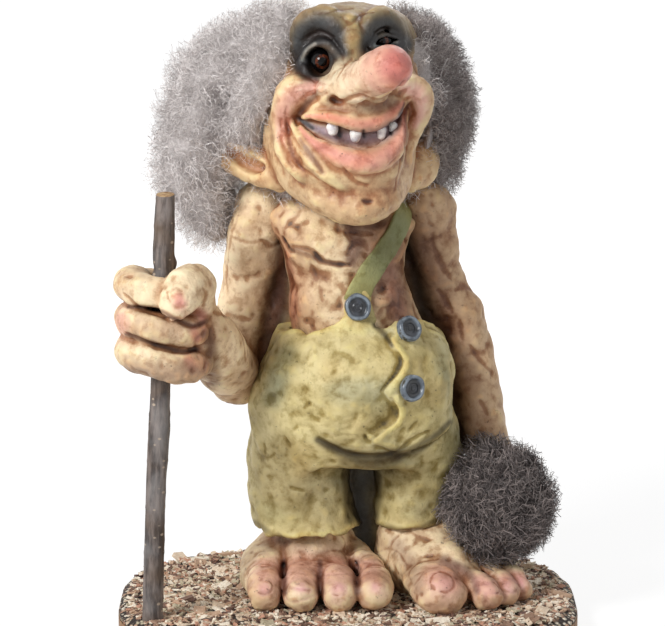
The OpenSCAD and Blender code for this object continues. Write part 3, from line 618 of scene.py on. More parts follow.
# right toes: a tip's x, y and radius; left toes: root, tip and radius; big toe: x, y, height and radius
# brushed, here and below: a line of px, py and half width in px, then its colour and strength
feet = {
    "voxel": 0.66,
    "rightToes": [(-14 + (k - 1.5) * 18.3, -42 - (0 if k % 3 == 0 else 2), 8.0 if k == 0 else 8.5)
                  for k in range(4)],
    "leftToes": [((62, -28), (69, -40), 7.5), ((73, -22), (79, -33), 6.6), ((80, -14), (86, -24), 6.0)],
    "bigToe": [
        [33, 0, 20, 12], [37, -14, 17, 12], [39, -24, 13.5, 11.5], [42.5, -34, 12, 12.8], [45.5, -43, 10, 12.2],
    ],
    "leftGaps": [
        [[44, -8, 26], [50, -22, 17], [55, -34, 12], [57.5, -42, 6]],
        [[56, -8, 24], [64, -20, 16], [71, -30, 12], [74.5, -37, 6]],
        [[66, -2, 20], [74, -14, 14], [79.5, -22, 10], [83, -29, 5]],
    ],
    "rightBrushed": [
        # painted shade on the top of the foot under the cuff, then the toes' pink
        ([(270, 540, 10), (320, 548, 12), (368, 560, 10)], (160, 130, 116), .4),
        ([(262, 572, 13), (300, 570, 14), (338, 570, 14), (372, 572, 12)], (216, 146, 140), .5),
        # painted shade in the gaps between the toes, then the nails
        ([(284, 562, 3), (284, 592, 4)], (104, 72, 74), .75), ([(320, 562, 3), (320, 592, 4)], (104, 72, 74), .75),
        ([(357, 562, 3), (357, 592, 4)], (104, 72, 74), .75), ([(265, 588, 5)] * 2, (236, 182, 178), .7),
        ([(301, 588, 5)] * 2, (236, 182, 178), .7), ([(339, 588, 5)] * 2, (236, 182, 178), .7),
        ([(376, 588, 5)] * 2, (232, 178, 174), .7),
    ],
    "leftBrushed": [
        # painted shade along the foot's inner side and in the gap beside the big toe, then the toes' pink
        ([(396, 545, 9), (412, 568, 9), (420, 590, 6)], (160, 130, 112), .55),
        ([(444, 560, 6), (470, 574, 5), (478, 592, 4)], (110, 78, 74), .7),
        ([(436, 574, 14), (452, 580, 14)], (222, 152, 144), .5),
        ([(484, 580, 10), (490, 590, 9)], (220, 148, 144), .55),
        ([(506, 578, 8), (520, 578, 8)], (216, 146, 142), .55),
    ],
}


def soleCut(clay):
    # flat on the ground, with a rounded edge
    clay.field = -smoothMin(-clay.field, clay.cells()[2], 1.0)


def toeNail(clay, x, y, z, r, way):
    # a nail pressed into the top of a toe's end
    direction = unit(way)
    side = np.cross(direction, (0, 0, 1))
    middle = np.array((x, y, z)) + direction * r * 0.45 + (0, 0, r * 0.52)
    rim = []
    for a in np.linspace(0, 2 * math.pi, 13):
        across, along = side * r * 0.5 * math.cos(a), direction * r * 0.42 * math.sin(a)
        rim.append(middle + across + along + (0, 0, -r * 0.30 * math.sin(a)))
    clay.stroke(None, 0.7, 0.55, points=rim)


def makeRightFoot():
    clay = Clay((-62, -58, -3), (30, 54, 52), feet["voxel"])
    clay.limb([[-21, 36, 12, 14], [-21, 18, 16, 21], [-18, 2, 17, 22], [-16, -14, 12, 14], [-15, -22, 11, 11]], 6,
              squash=(1.0, 1, .9))
    for x, y, r in feet["rightToes"]:
        knuckle = x + (x + 20) * -0.10
        clay.limb([[x - (x + 18) * .35, 2, 17, 8], [knuckle, -14, 15.5, 8.2], [x, -24, 12.5, .86 * r],
                   [x, -33, 11.5, r], [x, y, 8.8, .97 * r]], 3.2)
        clay.ball((x, -27, 14.5), (r * .85, 6, 5.5), 3)
    clay.limb([[-20, 5, 12, 19], [-20, 5, 50, 18.5]], 8)
    clay.ball((-20, 26, 10), (17, 17, 12), 6)
    clay.limb([[-34, 22, 12, 12], [-41, 6, 13, 12], [-44, -12, 11, 10.5], [-44, -26, 9, 8]], 5)
    roughen(clay, 0.8, 0.5, 0.4, 0.5, 11, 0.6, (14, 5, 5))
    for x, y, r in feet["rightToes"]:
        toeNail(clay, x, y, 9.0, r, (0, -1, 0))
        for back, low in ((-25.5, 0.35), (-29, 0.45), (-18, 0.3)):
            clay.stroke(None, 0.8, low + .25, points=[[x - r * .7, back + 1, 15], [x, back - .6, 12 + r * .95],
                                                      [x + r * .7, back + 1, 15]])
    for a, b in zip(feet["rightToes"][:-1], feet["rightToes"][1:]):
        middle = (a[0] + b[0]) / 2
        clay.stroke(None, 1.5, 1.6,
                    points=[[middle, -14, 17.5], [middle, -24, 15], [middle, -34, 9], [middle, -44, 6]])
    soleCut(clay)

    def paint(points):
        ends = [([(x, y + 3, 8)], 9.5, (186, 112, 108), .8) for x, y, r in feet["rightToes"]]
        nails = [([(x, y - 5.5, 13)], 4.2, (228, 176, 172), .85) for x, y, r in feet["rightToes"]]
        knuckles = [([(x, -24, 20)], 7, (214, 140, 122), .4) for x, y, r in feet["rightToes"]]
        tint = bodyPaint(points, flesh, ends + nails + knuckles, 15)
        brushAll(points, tint, feet["rightBrushed"], 20)
        return tint
    cast("rightFootCasting", clay, paint, skinPaint, "skin", "right_foot")


def makeLeftFoot():
    clay = Clay((10, -60, -3), (100, 46, 52), feet["voxel"])
    clay.limb([[26, 28, 11, 13], [33, 12, 17, 19], [42, -4, 16, 21], [50, -18, 12.5, 18], [54, -24, 10, 14]], 6)
    clay.limb(feet["bigToe"], 3.5, squash=(1.05, 1, .88))
    for (x0, y0), (x1, y1), r in feet["leftToes"]:
        clay.limb([[x0 - 18, y0 + 20, 18, 7], [x0 - 6, y0 + 8, 15.5, 7], [x0, y0, 12.5, .9 * r],
                   [(x0 + x1) / 2, (y0 + y1) / 2, 11, r], [x1, y1, r + .3, r]], 3.0)
    clay.limb([[34, 6, 12, 18.5], [34, 6, 50, 18]], 8)
    clay.ball((30, 20, 10), (15, 15, 12), 6)
    roughen(clay, 0.8, 0.5, 0.4, 0.5, 21, 0.6, (14, 5, 5))
    toeNail(clay, 45.5, -43, 10.5, 12.0, (.15, -1, 0))
    for (x0, y0), (x1, y1), r in feet["leftToes"]:
        toeNail(clay, x1, y1, r + .6, r, (x1 - x0, y1 - y0, 0))
    for line in feet["leftGaps"]:
        clay.stroke(None, 1.5, 1.7, points=line)
    for back in (-27, -31, -20):
        clay.stroke(None, 0.85, 0.6, points=[[36, back + 2, 22], [42, back, 24], [49, back + 2, 21]])
    soleCut(clay)

    def paint(points):
        bigEnd = ([(45.5, -45, 9)], 12, (190, 116, 108), .75)
        bigNail = ([(46.5, -50, 15)], 5.6, (230, 178, 168), .85)
        ends = [([(x, y, r)], r * 1.2, (186, 112, 108), .8) for _, (x, y), r in feet["leftToes"]]
        nails = [([(x + 1, y - 4, r + 4)], 3.4, (228, 176, 172), .85) for _, (x, y), r in feet["leftToes"]]
        tint = bodyPaint(points, flesh, [bigEnd, *ends, bigNail, *nails], 16)
        brushAll(points, tint, feet["leftBrushed"], 20)
        return tint
    cast("leftFootCasting", clay, paint, skinPaint, "skin", "left_foot")


# rim: angle round the body and height; fly, crotch and dents: lines of px, py; legs: as in bellyForm
# flap: its thickness; flap rows: its middle's angle, the height, and half its width in degrees
trousers = {
    "voxel": 0.9, "flap": 3.0, "cuff": 33,
    "rim": [
        (-180, 139), (-130, 137), (-90, 135), (-62, 137), (-52, 139), (-44, 137.5), (-30, 140), (-12, 146.5),
        (4, 148), (17, 141.5), (24, 141.5), (36, 144.5), (55, 144), (72, 139.5), (95, 134), (130, 136), (180, 139),
    ],
    "fly": [
        [(388, 338), (399, 354), (401, 364), (396, 374), (381, 391)],
        [(392, 395), (393, 400), (397.5, 410.5), (395, 421), (386, 428), (376, 436), (369, 442), (364, 434)],
    ],
    "crotch": [(319, 438), (335, 447.5), (350, 454.5), (381, 456), (400, 450), (412, 440), (428, 431)],
    "legs": [
        [[-20, -1, 31, 27.5, 26], [-24, 1, 45, 26.5, 25.5], [-26, 2, 58, 25.5, 26], [-24, 1, 76, 26, 28],
         [-18, 0, 92, 26, 28]],
        [[33, 3, 33, 19.5, 20], [35, 4, 46, 21, 22], [36, 4, 59, 22, 24], [33, 3, 78, 23, 26], [27, 2, 92, 24, 26]],
    ],
    "flapRows": [
        [30, 80, 5], [38, 88, 28], [47, 95, 26], [51, 102, 25], [50, 112, 32], [53, 120, 28], [54, 127, 25],
        [50, 134, 27], [44, 139, 16],
    ],
    "dents": [
        [(303, 409), (311, 402)], [(264, 440), (266, 458), (276, 453)], [(285, 436), (291, 448)],
        [(290, 488), (306, 491)], [(292, 431), (298, 426)], [(407, 433), (418, 420)],
    ],
    "brushed": [
        # painted shade under the belly and in its crease
        ([(274, 452, 22), (276, 490, 26), (316, 500, 28)], (140, 124, 88), .6),
        ([(318, 440, 4), (340, 451, 6), (368, 459, 8), (396, 455, 7)], (58, 48, 30), .9),
        # painted shade on the legs' inner edges and under the cuffs
        ([(346, 475, 5), (350, 520, 6)], (84, 72, 46), .8), ([(378, 478, 5), (374, 520, 5)], (84, 72, 50), .8),
        ([(254, 522, 3), (280, 538, 4), (320, 543, 4), (352, 532, 4)], (104, 90, 56), .7),
        ([(378, 526, 4), (412, 531, 4), (444, 518, 4)], (84, 70, 46), .8),
        # painted shade at the crease's right end and between the legs
        ([(396, 456, 7), (420, 447, 5), (438, 434, 4), (450, 422, 3)], (60, 50, 32), .75),
        ([(346, 462, 9), (392, 466, 10)], (96, 84, 54), .6),
        # the paint's own blue-grey patch
        ([(286, 355, 12), (272, 398, 12)], (134, 138, 112), .6),
        # painted shade on the left leg and at the top of the fly
        ([(388, 500, 18), (424, 486, 22)], (160, 144, 96), .6),
        ([(376, 326, 4), (384, 334, 3), (392, 346, 2)], (70, 58, 40), .8),
        # a painted highlight on the belly's right side, then a darker patch low on the right leg
        ([(266, 420, 8), (266, 440, 8)], (222, 208, 160), .4),
        ([(262, 510, 12), (290, 524, 12)], (176, 164, 112), .5),
    ],
}


def angleRound(form, clay):
    # the angle of every cell round the form from the front, in degrees
    s = curveThrough(form, 6)
    x, y, z = clay.cells()
    cx, cy, hw, hd = (np.interp(z, s[:, 2], s[:, i]).astype(np.float32) for i in (0, 1, 3, 4))
    return np.degrees(np.arctan2((x - cx) / hw, -(y - cy) / hd))


def makeTrousers():
    clay = Clay((-62, -60, 8), (68, 58, 168), trousers["voxel"])
    clay.loft(bellyForm() + [[4, 0, 154, 36, 32]], cap=3)
    for leg in trousers["legs"]:
        clay.loft(leg, blend=7, cap=3)
    # the thin web between the legs, a sheet put where there is shade, painted near black
    web = clay.like()
    web.loft([[7, 8, 11, 11, 5], [7, 8, 37, 12, 5], [7, 8, 62, 12, 5], [7, 8, 84, 10, 5]], 3)
    # the flap lies over the front, between two edges that are angles at each height
    angle = angleRound(bellyForm(), clay)
    x, _, z = clay.cells()
    s = curveThrough(trousers["flapRows"], 5)
    left, right = (np.interp(z, s[:, 1], s[:, 0] + side * s[:, 2]) for side in (-1, 1))
    inside = np.minimum(np.minimum(angle - left, right - angle) * 0.75, np.minimum(z - 79, 146 - z))
    lift = trousers["flap"] * np.clip(inside / 2.4 + 0.5, 0, 1)
    clay.field -= np.where(np.abs(clay.field) < 9, lift, 0).astype(np.float32)
    # the rim dips at the sides, and the chest comes out of it
    rim = np.interp(angle, *zip(*trousers["rim"]))
    clay.field = -smoothMin(-clay.field, -(z - rim).astype(np.float32), 1.6)
    chest = clay.like()
    chest.loft(trunkForm(), grow=1.0)
    clay.field = np.maximum(clay.field, np.minimum(-chest.field, 2) - np.where(z < 128, 60, 0))
    # the strap's tab stands up from the rim over the chest
    tabSpots = [onForm(trunkForm(), a, height, .6) for a, height in ((5, 134), (6, 143), (7, 151), (9, 158))]
    clay.limb([[*p, r] for p, r in zip(tabSpots, (9.5, 9.5, 8.2, 6))], 2, squash=(1, .32, 1))
    roughen(clay, 1.1, 0.6, 0.5, 0.7, 31, 0.5, (13, 13, 4))
    # ragged cuffs round each ankle's hollow
    cuff = (trousers["cuff"] + 0.05 * (x - 8)) + 1.3 * clay.noise(5, 37)
    clay.field = -smoothMin(-clay.field, (z - cuff).astype(np.float32), 2.5)
    rng = np.random.default_rng(39)
    for middle, wide in (((-20, 1), 25), ((34, 4), 20)):
        for k in range(22):
            a = math.radians(360 * k / 22 + rng.uniform(-6, 6))
            size = rng.uniform(1.2, 2.8)
            notch = (middle[0] + wide * math.cos(a), middle[1] + wide * math.sin(a),
                     trousers["cuff"] - 1.2 + rng.uniform(-1, .6))
            clay.ball(notch, (size, size, size * 1.2), 1, carve=True)
    clay.limb([[-20, 5, 20, 20.5], [-20, 5, 36, 20.0]], 1.5, carve=True)
    clay.limb([[34, 6, 20, 16.2], [34, 6, 37, 15.8]], 1.5, carve=True)
    clay.field = np.minimum(clay.field, web.field)
    for line in trousers["fly"]:
        clay.stroke(line, 0.95, 2.4)
        clay.stroke([(px + 5, py + 1) for px, py in line], 2.2, -1.0)
    clay.stroke(trousers["crotch"], 1.5, 2.2)
    for line in trousers["dents"]:
        clay.stroke(line, 0.9, 1.0)

    def paint(points):
        tint = bodyPaint(points, (218, 202, 148), (), 35)
        cold = np.clip(speckled(points, 17, 36) * 1.6 - 0.1, 0, 1) * 0.5
        tint += cold[:, None] * (np.array(rgb(142, 148, 130)) - tint)
        warm = np.clip(speckled(points, 14, 38) * 1.6 - 0.2, 0, 1) * 0.45
        tint += warm[:, None] * (np.array(rgb(214, 186, 124)) - tint)
        # painted shade: the web between the legs and the cloth next to it near black
        dab(points, tint, [(7, 2, 12), (7, 1, 34), (7, -1, 58), (7, -3, 70)], 11, (18, 14, 10), .98, 2)
        brushAll(points, tint, trousers["brushed"], 6)
        return tint
    cast("trouserCasting", clay, paint, trouserPaint, "trousers", "trousers")


# shade: spots as angle and height, then radius, colour and strength
# furrows, here and below: a line of px, py, then its width and depth in mm
torso = {
    "voxel": 0.75,
    "shade": [
        ([(60, 200), (62, 176), (58, 150)], 14, (150, 108, 78), .8),
        ([(-66, 196), (-62, 170), (-60, 148)], 13, (196, 146, 112), .75),
        ([(25, 188), (24, 172), (28, 160)], 9, (150, 112, 90), .75),
    ],
    "furrows": [
        ([(292, 246), (310, 250), (318, 258), (325, 262), (337, 264), (350, 265)], 1.8, 1.3),
        ([(283, 238), (288, 247), (294, 252)], 2.0, 1.3), ([(345, 232), (352, 243), (347, 255)], 1.8, 0.7),
        ([(289, 195), (300, 210), (285, 228)], 1.8, 0.6), ([(300, 190), (325, 207), (345, 220)], 2.0, 0.8),
        ([(350, 232), (372, 234)], 1.8, 0.7), ([(350, 248), (362, 240), (368, 250)], 2.4, 0.5),
        ([(310, 262), (318, 282), (322, 300)], 2.0, 0.5),
    ],
    "nipple": [(314, 249), (318, 256), (325, 255), (327, 248)],
    "brushed": [
        # painted shade between the breast and the strap, along the right arm, beyond the strap and under the chin
        ([(350, 226, 8), (356, 243, 9), (351, 260, 8)], (112, 82, 70), .85),
        ([(286, 255, 5), (291, 290, 7), (292, 325, 7)], (176, 118, 92), .75),
        ([(384, 255, 10), (392, 285, 10), (399, 315, 10)], (150, 104, 84), .85),
        ([(296, 190, 5), (322, 210, 6), (352, 224, 7), (384, 224, 6)], (96, 66, 54), .85),
        # painted highlights on the chest
        ([(330, 272, 15), (326, 304, 14)], (244, 222, 182), .6),
        ([(308, 228, 15), (332, 236, 12)], (236, 210, 166), .6),
        # painted shade in the furrow under the breast
        ([(295, 250, 3), (312, 257, 3), (340, 266, 3)], (120, 84, 66), .7),
    ],
}


def makeTorso():
    clay = Clay((-44, -40, 112), (44, 46, 216), torso["voxel"])
    clay.loft(trunkForm(), cap=6)
    clay.ball((-17, -13, 178), (15, 9.5, 12), 5)
    clay.ball((15, -12, 180), (14, 8.5, 11), 5)
    clay.ball((-24, -2, 190), (14, 15, 13), 7)
    clay.ball((24, 4, 192), (11, 12, 11), 5)
    clay.ball((-2, -19, 148), (22, 9, 16), 6)
    roughen(clay, 1.0, 0.55, 0.5, 0.35, 41, 0.35, (12, 12, 5))
    clay.furrows(torso["furrows"])
    clay.stroke(torso["nipple"], .9, 0.35)
    clay.stroke([(319, 250), (321, 249)], 2.0, -0.8)
    clay.limb([[-2, 6, 205, 26], [-2, 6, 220, 28]], 1, carve=True, squash=(1, 1, .3))
    # a shallow bed under the strap
    _, middle, normals = strapLine()
    for spot in (middle + 25.6 * normals)[::3]:
        clay.ball(spot, 25, 0.6, carve=True)

    def paint(points):
        shade = [([onForm(trunkForm(), a, h, 2) for a, h in spots], *look) for spots, *look in torso["shade"]]
        tint = bodyPaint(points, flesh, shade, 45)
        brushAll(points, tint, torso["brushed"], 0)
        return np.clip(tint, 0, 1)
    cast("torsoCasting", clay, paint, skinPaint, "skin", "torso")


# fist: its middle; reach: how far the fingers go round the staff; thumb: x, y, z from there, radius
arms = {
    "voxel": 0.74, "fist": (-89.9, -51.9, 149.4), "reach": 13.5,
    "thumbRoot": [(13, 9, -6, 10.6), (16.5, -2, 8, 10.2), (16, -9, 17, 10)],
    "thumbTip": [(16.5, -8, 18, 10.2), (13, -16, 19.5, 10), (9.5, -21.5, 15, 9.5), (7.6, -23, 11.5, 8.2)],
    "rightFurrows": [
        ([(124, 294), (140, 308), (160, 315), (166, 317)], 1.5, 1.6),
        ([(166, 317), (180, 322), (192, 326), (204, 322)], 1.3, 1.5),
        ([(126, 333), (145, 341), (165, 349), (185, 352), (195, 348)], 1.4, 1.9),
        ([(195, 348), (197, 340), (205, 330)], 1.4, 0.9), ([(167, 292), (175, 288), (182, 291)], 1.0, 1.0),
        ([(167, 292), (170, 302), (178, 308), (187, 304), (188, 296)], 0.8, 0.55),
        ([(203, 288), (207, 296), (203, 306)], 1.6, 1.0),
        ([(207, 325), (214, 335), (210, 350), (204, 368)], 2.2, 0.9),
        ([(214, 312), (232, 316), (250, 320)], 2.0, 1.2), ([(262, 240), (274, 246), (286, 236)], 1.6, 0.9),
        ([(232, 237), (250, 243), (262, 240)], 1.4, 0.7), ([(238, 215), (230, 240), (228, 262)], 1.3, 0.6),
        ([(236, 325), (244, 340), (246, 360)], 1.4, 0.7), ([(228, 262), (226, 280), (228, 292)], 1.2, 0.6),
    ],
    "leftFurrows": [
        ([(456, 290), (465, 286), (474, 292)], 1.8, 1.0), ([(438, 290), (446, 300), (452, 312)], 1.8, 0.9),
        ([(470, 345), (480, 360), (492, 372)], 1.6, 0.7), ([(432, 240), (440, 262), (452, 280)], 1.8, 0.8),
        ([(480, 400), (488, 415)], 1.3, 0.7), ([(460, 320), (462, 340)], 1.5, 0.8),
    ],
    "fistBrushed": [
        # the wash and painted shade in the grooves between the fingers, then the knuckles' pink
        ([(128, 307, 2), (144, 307, 2.4), (163, 312, 2.6), (174, 318, 3), (193, 326, 3), (206, 321, 3)],
         (84, 50, 46), .8),
        ([(127, 334, 2.6), (148, 341, 2.8), (167, 348, 3), (184, 352, 3), (196, 350, 3)], (70, 42, 38), .85),
        ([(178, 298, 7), (180, 303, 7)], (226, 150, 140), .85),
        ([(199, 312, 5), (203, 316, 5)], (206, 132, 120), .7),
        ([(194, 332, 5), (197, 338, 5)], (200, 126, 112), .7),
        ([(189, 360, 6), (192, 366, 6)], (196, 122, 108), .7),
        ([(122, 318, 7), (124, 326, 7)], (228, 166, 150), .6),
    ],
    "rightBrushed": [
        # painted shade under the fist, then darker across the fingers
        ([(130, 372, 16), (165, 378, 16), (195, 372, 14)], (158, 122, 98), .75),
        ([(140, 326, 12), (175, 334, 12)], (186, 150, 120), .6),
        # painted shade inside the wrist, by the elbow and along the arm's inner edge next to the body
        ([(207, 335, 6), (212, 352, 7), (214, 380, 8)], (120, 84, 66), .7),
        ([(248, 380, 12), (262, 352, 12)], (170, 130, 100), .6),
        ([(284, 250, 6), (280, 290, 7), (270, 330, 8)], (130, 92, 72), .7),
    ],
}


def makeRightArm():
    clay = Clay((-132, -92, 96), (-14, 34, 214), arms["voxel"])
    r = figure["armR"]
    clay.limb([[-42, 8, 196, .98 * r], [-46, 9, 172, 1.03 * r], [-52, 10, 148, .96 * r], [-56, 9, 127, 1.04 * r],
               [-57, 2, 110, 1.02 * r]], 4)
    clay.limb([[-56, 6, 112, .98 * r], [-60, -14, 119, 1.06 * r], [-66, -34, 132, 1.08 * r],
               [-74, -43, 141, 1.22 * r]], 3)
    clay.ball((-50, 2, 178), (11, 11, 16), 5)
    clay.ball((-60, 14, 111), (10, 9, 9), 5)
    clay.ball((-80, -46, 141), (15, 14, 21), 7)
    # three fingers round the staff, then the thumb; spot is the fist's middle
    fr, reach, spot = figure["fingerR"], arms["reach"], np.array(arms["fist"])
    for k in range(3):
        turn = math.radians(5 * (k - 1))
        up, drop, sunk = 16.2 * (1 - k), 3 + k, 4 if k == 0 else 0
        rows = [(14 + k, 8, up - sunk, fr), (3, reach - .4 * k, up - sunk, fr),
                (-.75 * reach, .7 * reach, up + .5 - .7 * sunk, 1.02 * fr), (-1.02 * reach, -2, up + 1, 1.08 * fr),
                (-.65 * reach, -.85 * reach, up + .3, 1.04 * fr), (3, -1.05 * reach, up - .5 * drop, .98 * fr),
                (14, -.8 * reach, up - drop, .86 * fr), (18, -.3 * reach, up - drop, .7 * fr)]
        if k == 0:
            rows = rows[:5] + [(0, -1.0 * reach, up - 1, .98 * fr), (8, -.6 * reach, up - 3, .9 * fr)]
        c, s = math.cos(turn), math.sin(turn)
        clay.limb([[*(spot + (x * c - y * s, x * s + y * c, z)), r] for x, y, z, r in rows], 1.6)
    for rows, blend in ((arms["thumbRoot"], 4), (arms["thumbTip"], 3)):
        clay.limb([[*(spot + t[:3]), t[3]] for t in rows], blend)
    # a thin web between the arm and the body, a sheet put where there is shade, painted near black
    clay.loft([[-43, 8, 108, 10, 4], [-41, 8, 130, 12, 4], [-39, 9, 151, 14, 4], [-36, 8, 184, 13, 4]], 3)
    roughen(clay, 0.8, 0.5, 0.5, 0.35, 51, 0.25, (10, 10, 4))
    clay.furrows(arms["rightFurrows"])
    clay.limb([[-93.5, -54.8, 70, 5.1], [-92, -54, 94, 5.1], [-91, -53, 118, 5.1], [-89.9, -51.9, 146, 5.1],
               [-89, -51, 168, 5.1], [-88.6, -49.6, 188, 5.1]], 0.8, carve=True)

    def paint(points):
        rosyAndWebShade = [([spot + (-16, -6, -1)], 8, (226, 160, 148), .75), ([spot + (8, -24, 8)], 5, (226, 150, 140), .85),
                ([spot + (19, -12, -2)], 7, (206, 128, 112), .7),
                ([spot + (20, -12, -20)], 6, (206, 128, 112), .65),
                ([spot + (-16, -6, 17)], 6, (222, 168, 140), .4), ([spot + (-2, -22, -8)], 5, (222, 180, 140), .3),
                ([(-60, 0, 112)], 14, (196, 136, 96), .5),
                # painted shade: the web between the arm and the body near black
                ([(-31, 3, 200), (-34, 4, 172), (-35, 4, 150), (-37, 3, 130), (-38, 3, 112)], 8, (20, 14, 11), .98)]
        tint = bodyPaint(points, (248, 224, 186), rosyAndWebShade, 55)
        brushAll(points, tint, arms["fistBrushed"], -57)
        brushAll(points, tint, arms["rightBrushed"], 10)
        return tint
    cast("rightArmCasting", clay, paint, skinPaint, "skin", "right_arm")


def makeLeftArm():
    clay = Clay((18, -26, 36), (100, 42, 214), arms["voxel"])
    r = figure["armR"]
    clay.limb([[37, 10, 196, .9 * r], [42, 14, 176, .9 * r], [47, 18, 153, .87 * r], [56, 20, 136, .96 * r],
               [63, 18, 112, .92 * r], [69, 14, 84, .9 * r], [72, 10, 71, .88 * r], [75, 6, 60, 1.0 * r]], 4)
    clay.ball((40, 12, 192), (14, 14, 14), 5)
    clay.ball((58, 24, 138), (9, 8, 10), 4)
    for k in range(3):
        clay.limb([[80, 17 - 10 * k, 60, 6], [85, 15 - 10 * k, 51, 6], [79, 13 - 10 * k, 45, 5.6],
                   [71, 13 - 10 * k, 48, 5]], 1.6)
    clay.limb([[70, -2, 64, 6], [66, -8, 57, 5.6], [66, -8, 50, 5]], 2)
    # a thin web between the arm and the body, a sheet put where there is shade, painted near black
    clay.loft([[60, 14, 66, 8, 4], [57, 15, 84, 9, 4], [54, 16, 110, 12, 4], [44, 16, 142, 17, 4],
               [36, 14, 182, 13, 4]], 3)
    roughen(clay, 0.8, 0.5, 0.5, 0.35, 61, 0.25, (10, 10, 4))
    clay.furrows(arms["leftFurrows"])

    def paint(points):
        shade = [([(36, 2, 190), (40, 6, 164), (50, 10, 136), (58, 8, 106), (62, 6, 82)], 9.5, (120, 76, 56), .75),
                 ([(28, 8, 190), (31, 9, 165), (38, 11, 140), (47, 11, 112), (52, 10, 84), (55, 9, 68)], 8.5,
                  (20, 14, 11), .98)]
        return bodyPaint(points, (220, 188, 150), shade, 65)
    cast("leftArmCasting", clay, paint, skinPaint, "skin", "left_arm")


# path: x, y, z from the seat of the trousers to the left hand
tail = {
    "voxel": 0.6,
    "path": [
        [4, 32, 84], [9, 43, 76], [20, 53, 60], [38, 57, 47], [58, 51, 44], [73, 36, 54], [78, 20, 63], [76, 8, 59],
        [74, -2, 52],
    ],
}


def makeTail():
    clay = Clay((-8, -12, 34), (90, 68, 94), tail["voxel"])
    rows = [[*p, 4.9 - 0.06 * k] for k, p in enumerate(tail["path"])]
    clay.limb(rows, 2)
    clay.ball((4, 33, 84), (9, 7, 9), 4)
    roughen(clay, 0.3, 0.3, 0.3, 0.3, 71, 0.3, (9, 9, 9))
    cast("tailCasting", clay, lambda p: bodyPaint(p, (214, 178, 126), (), 75), skinPaint, "skin", "tail")
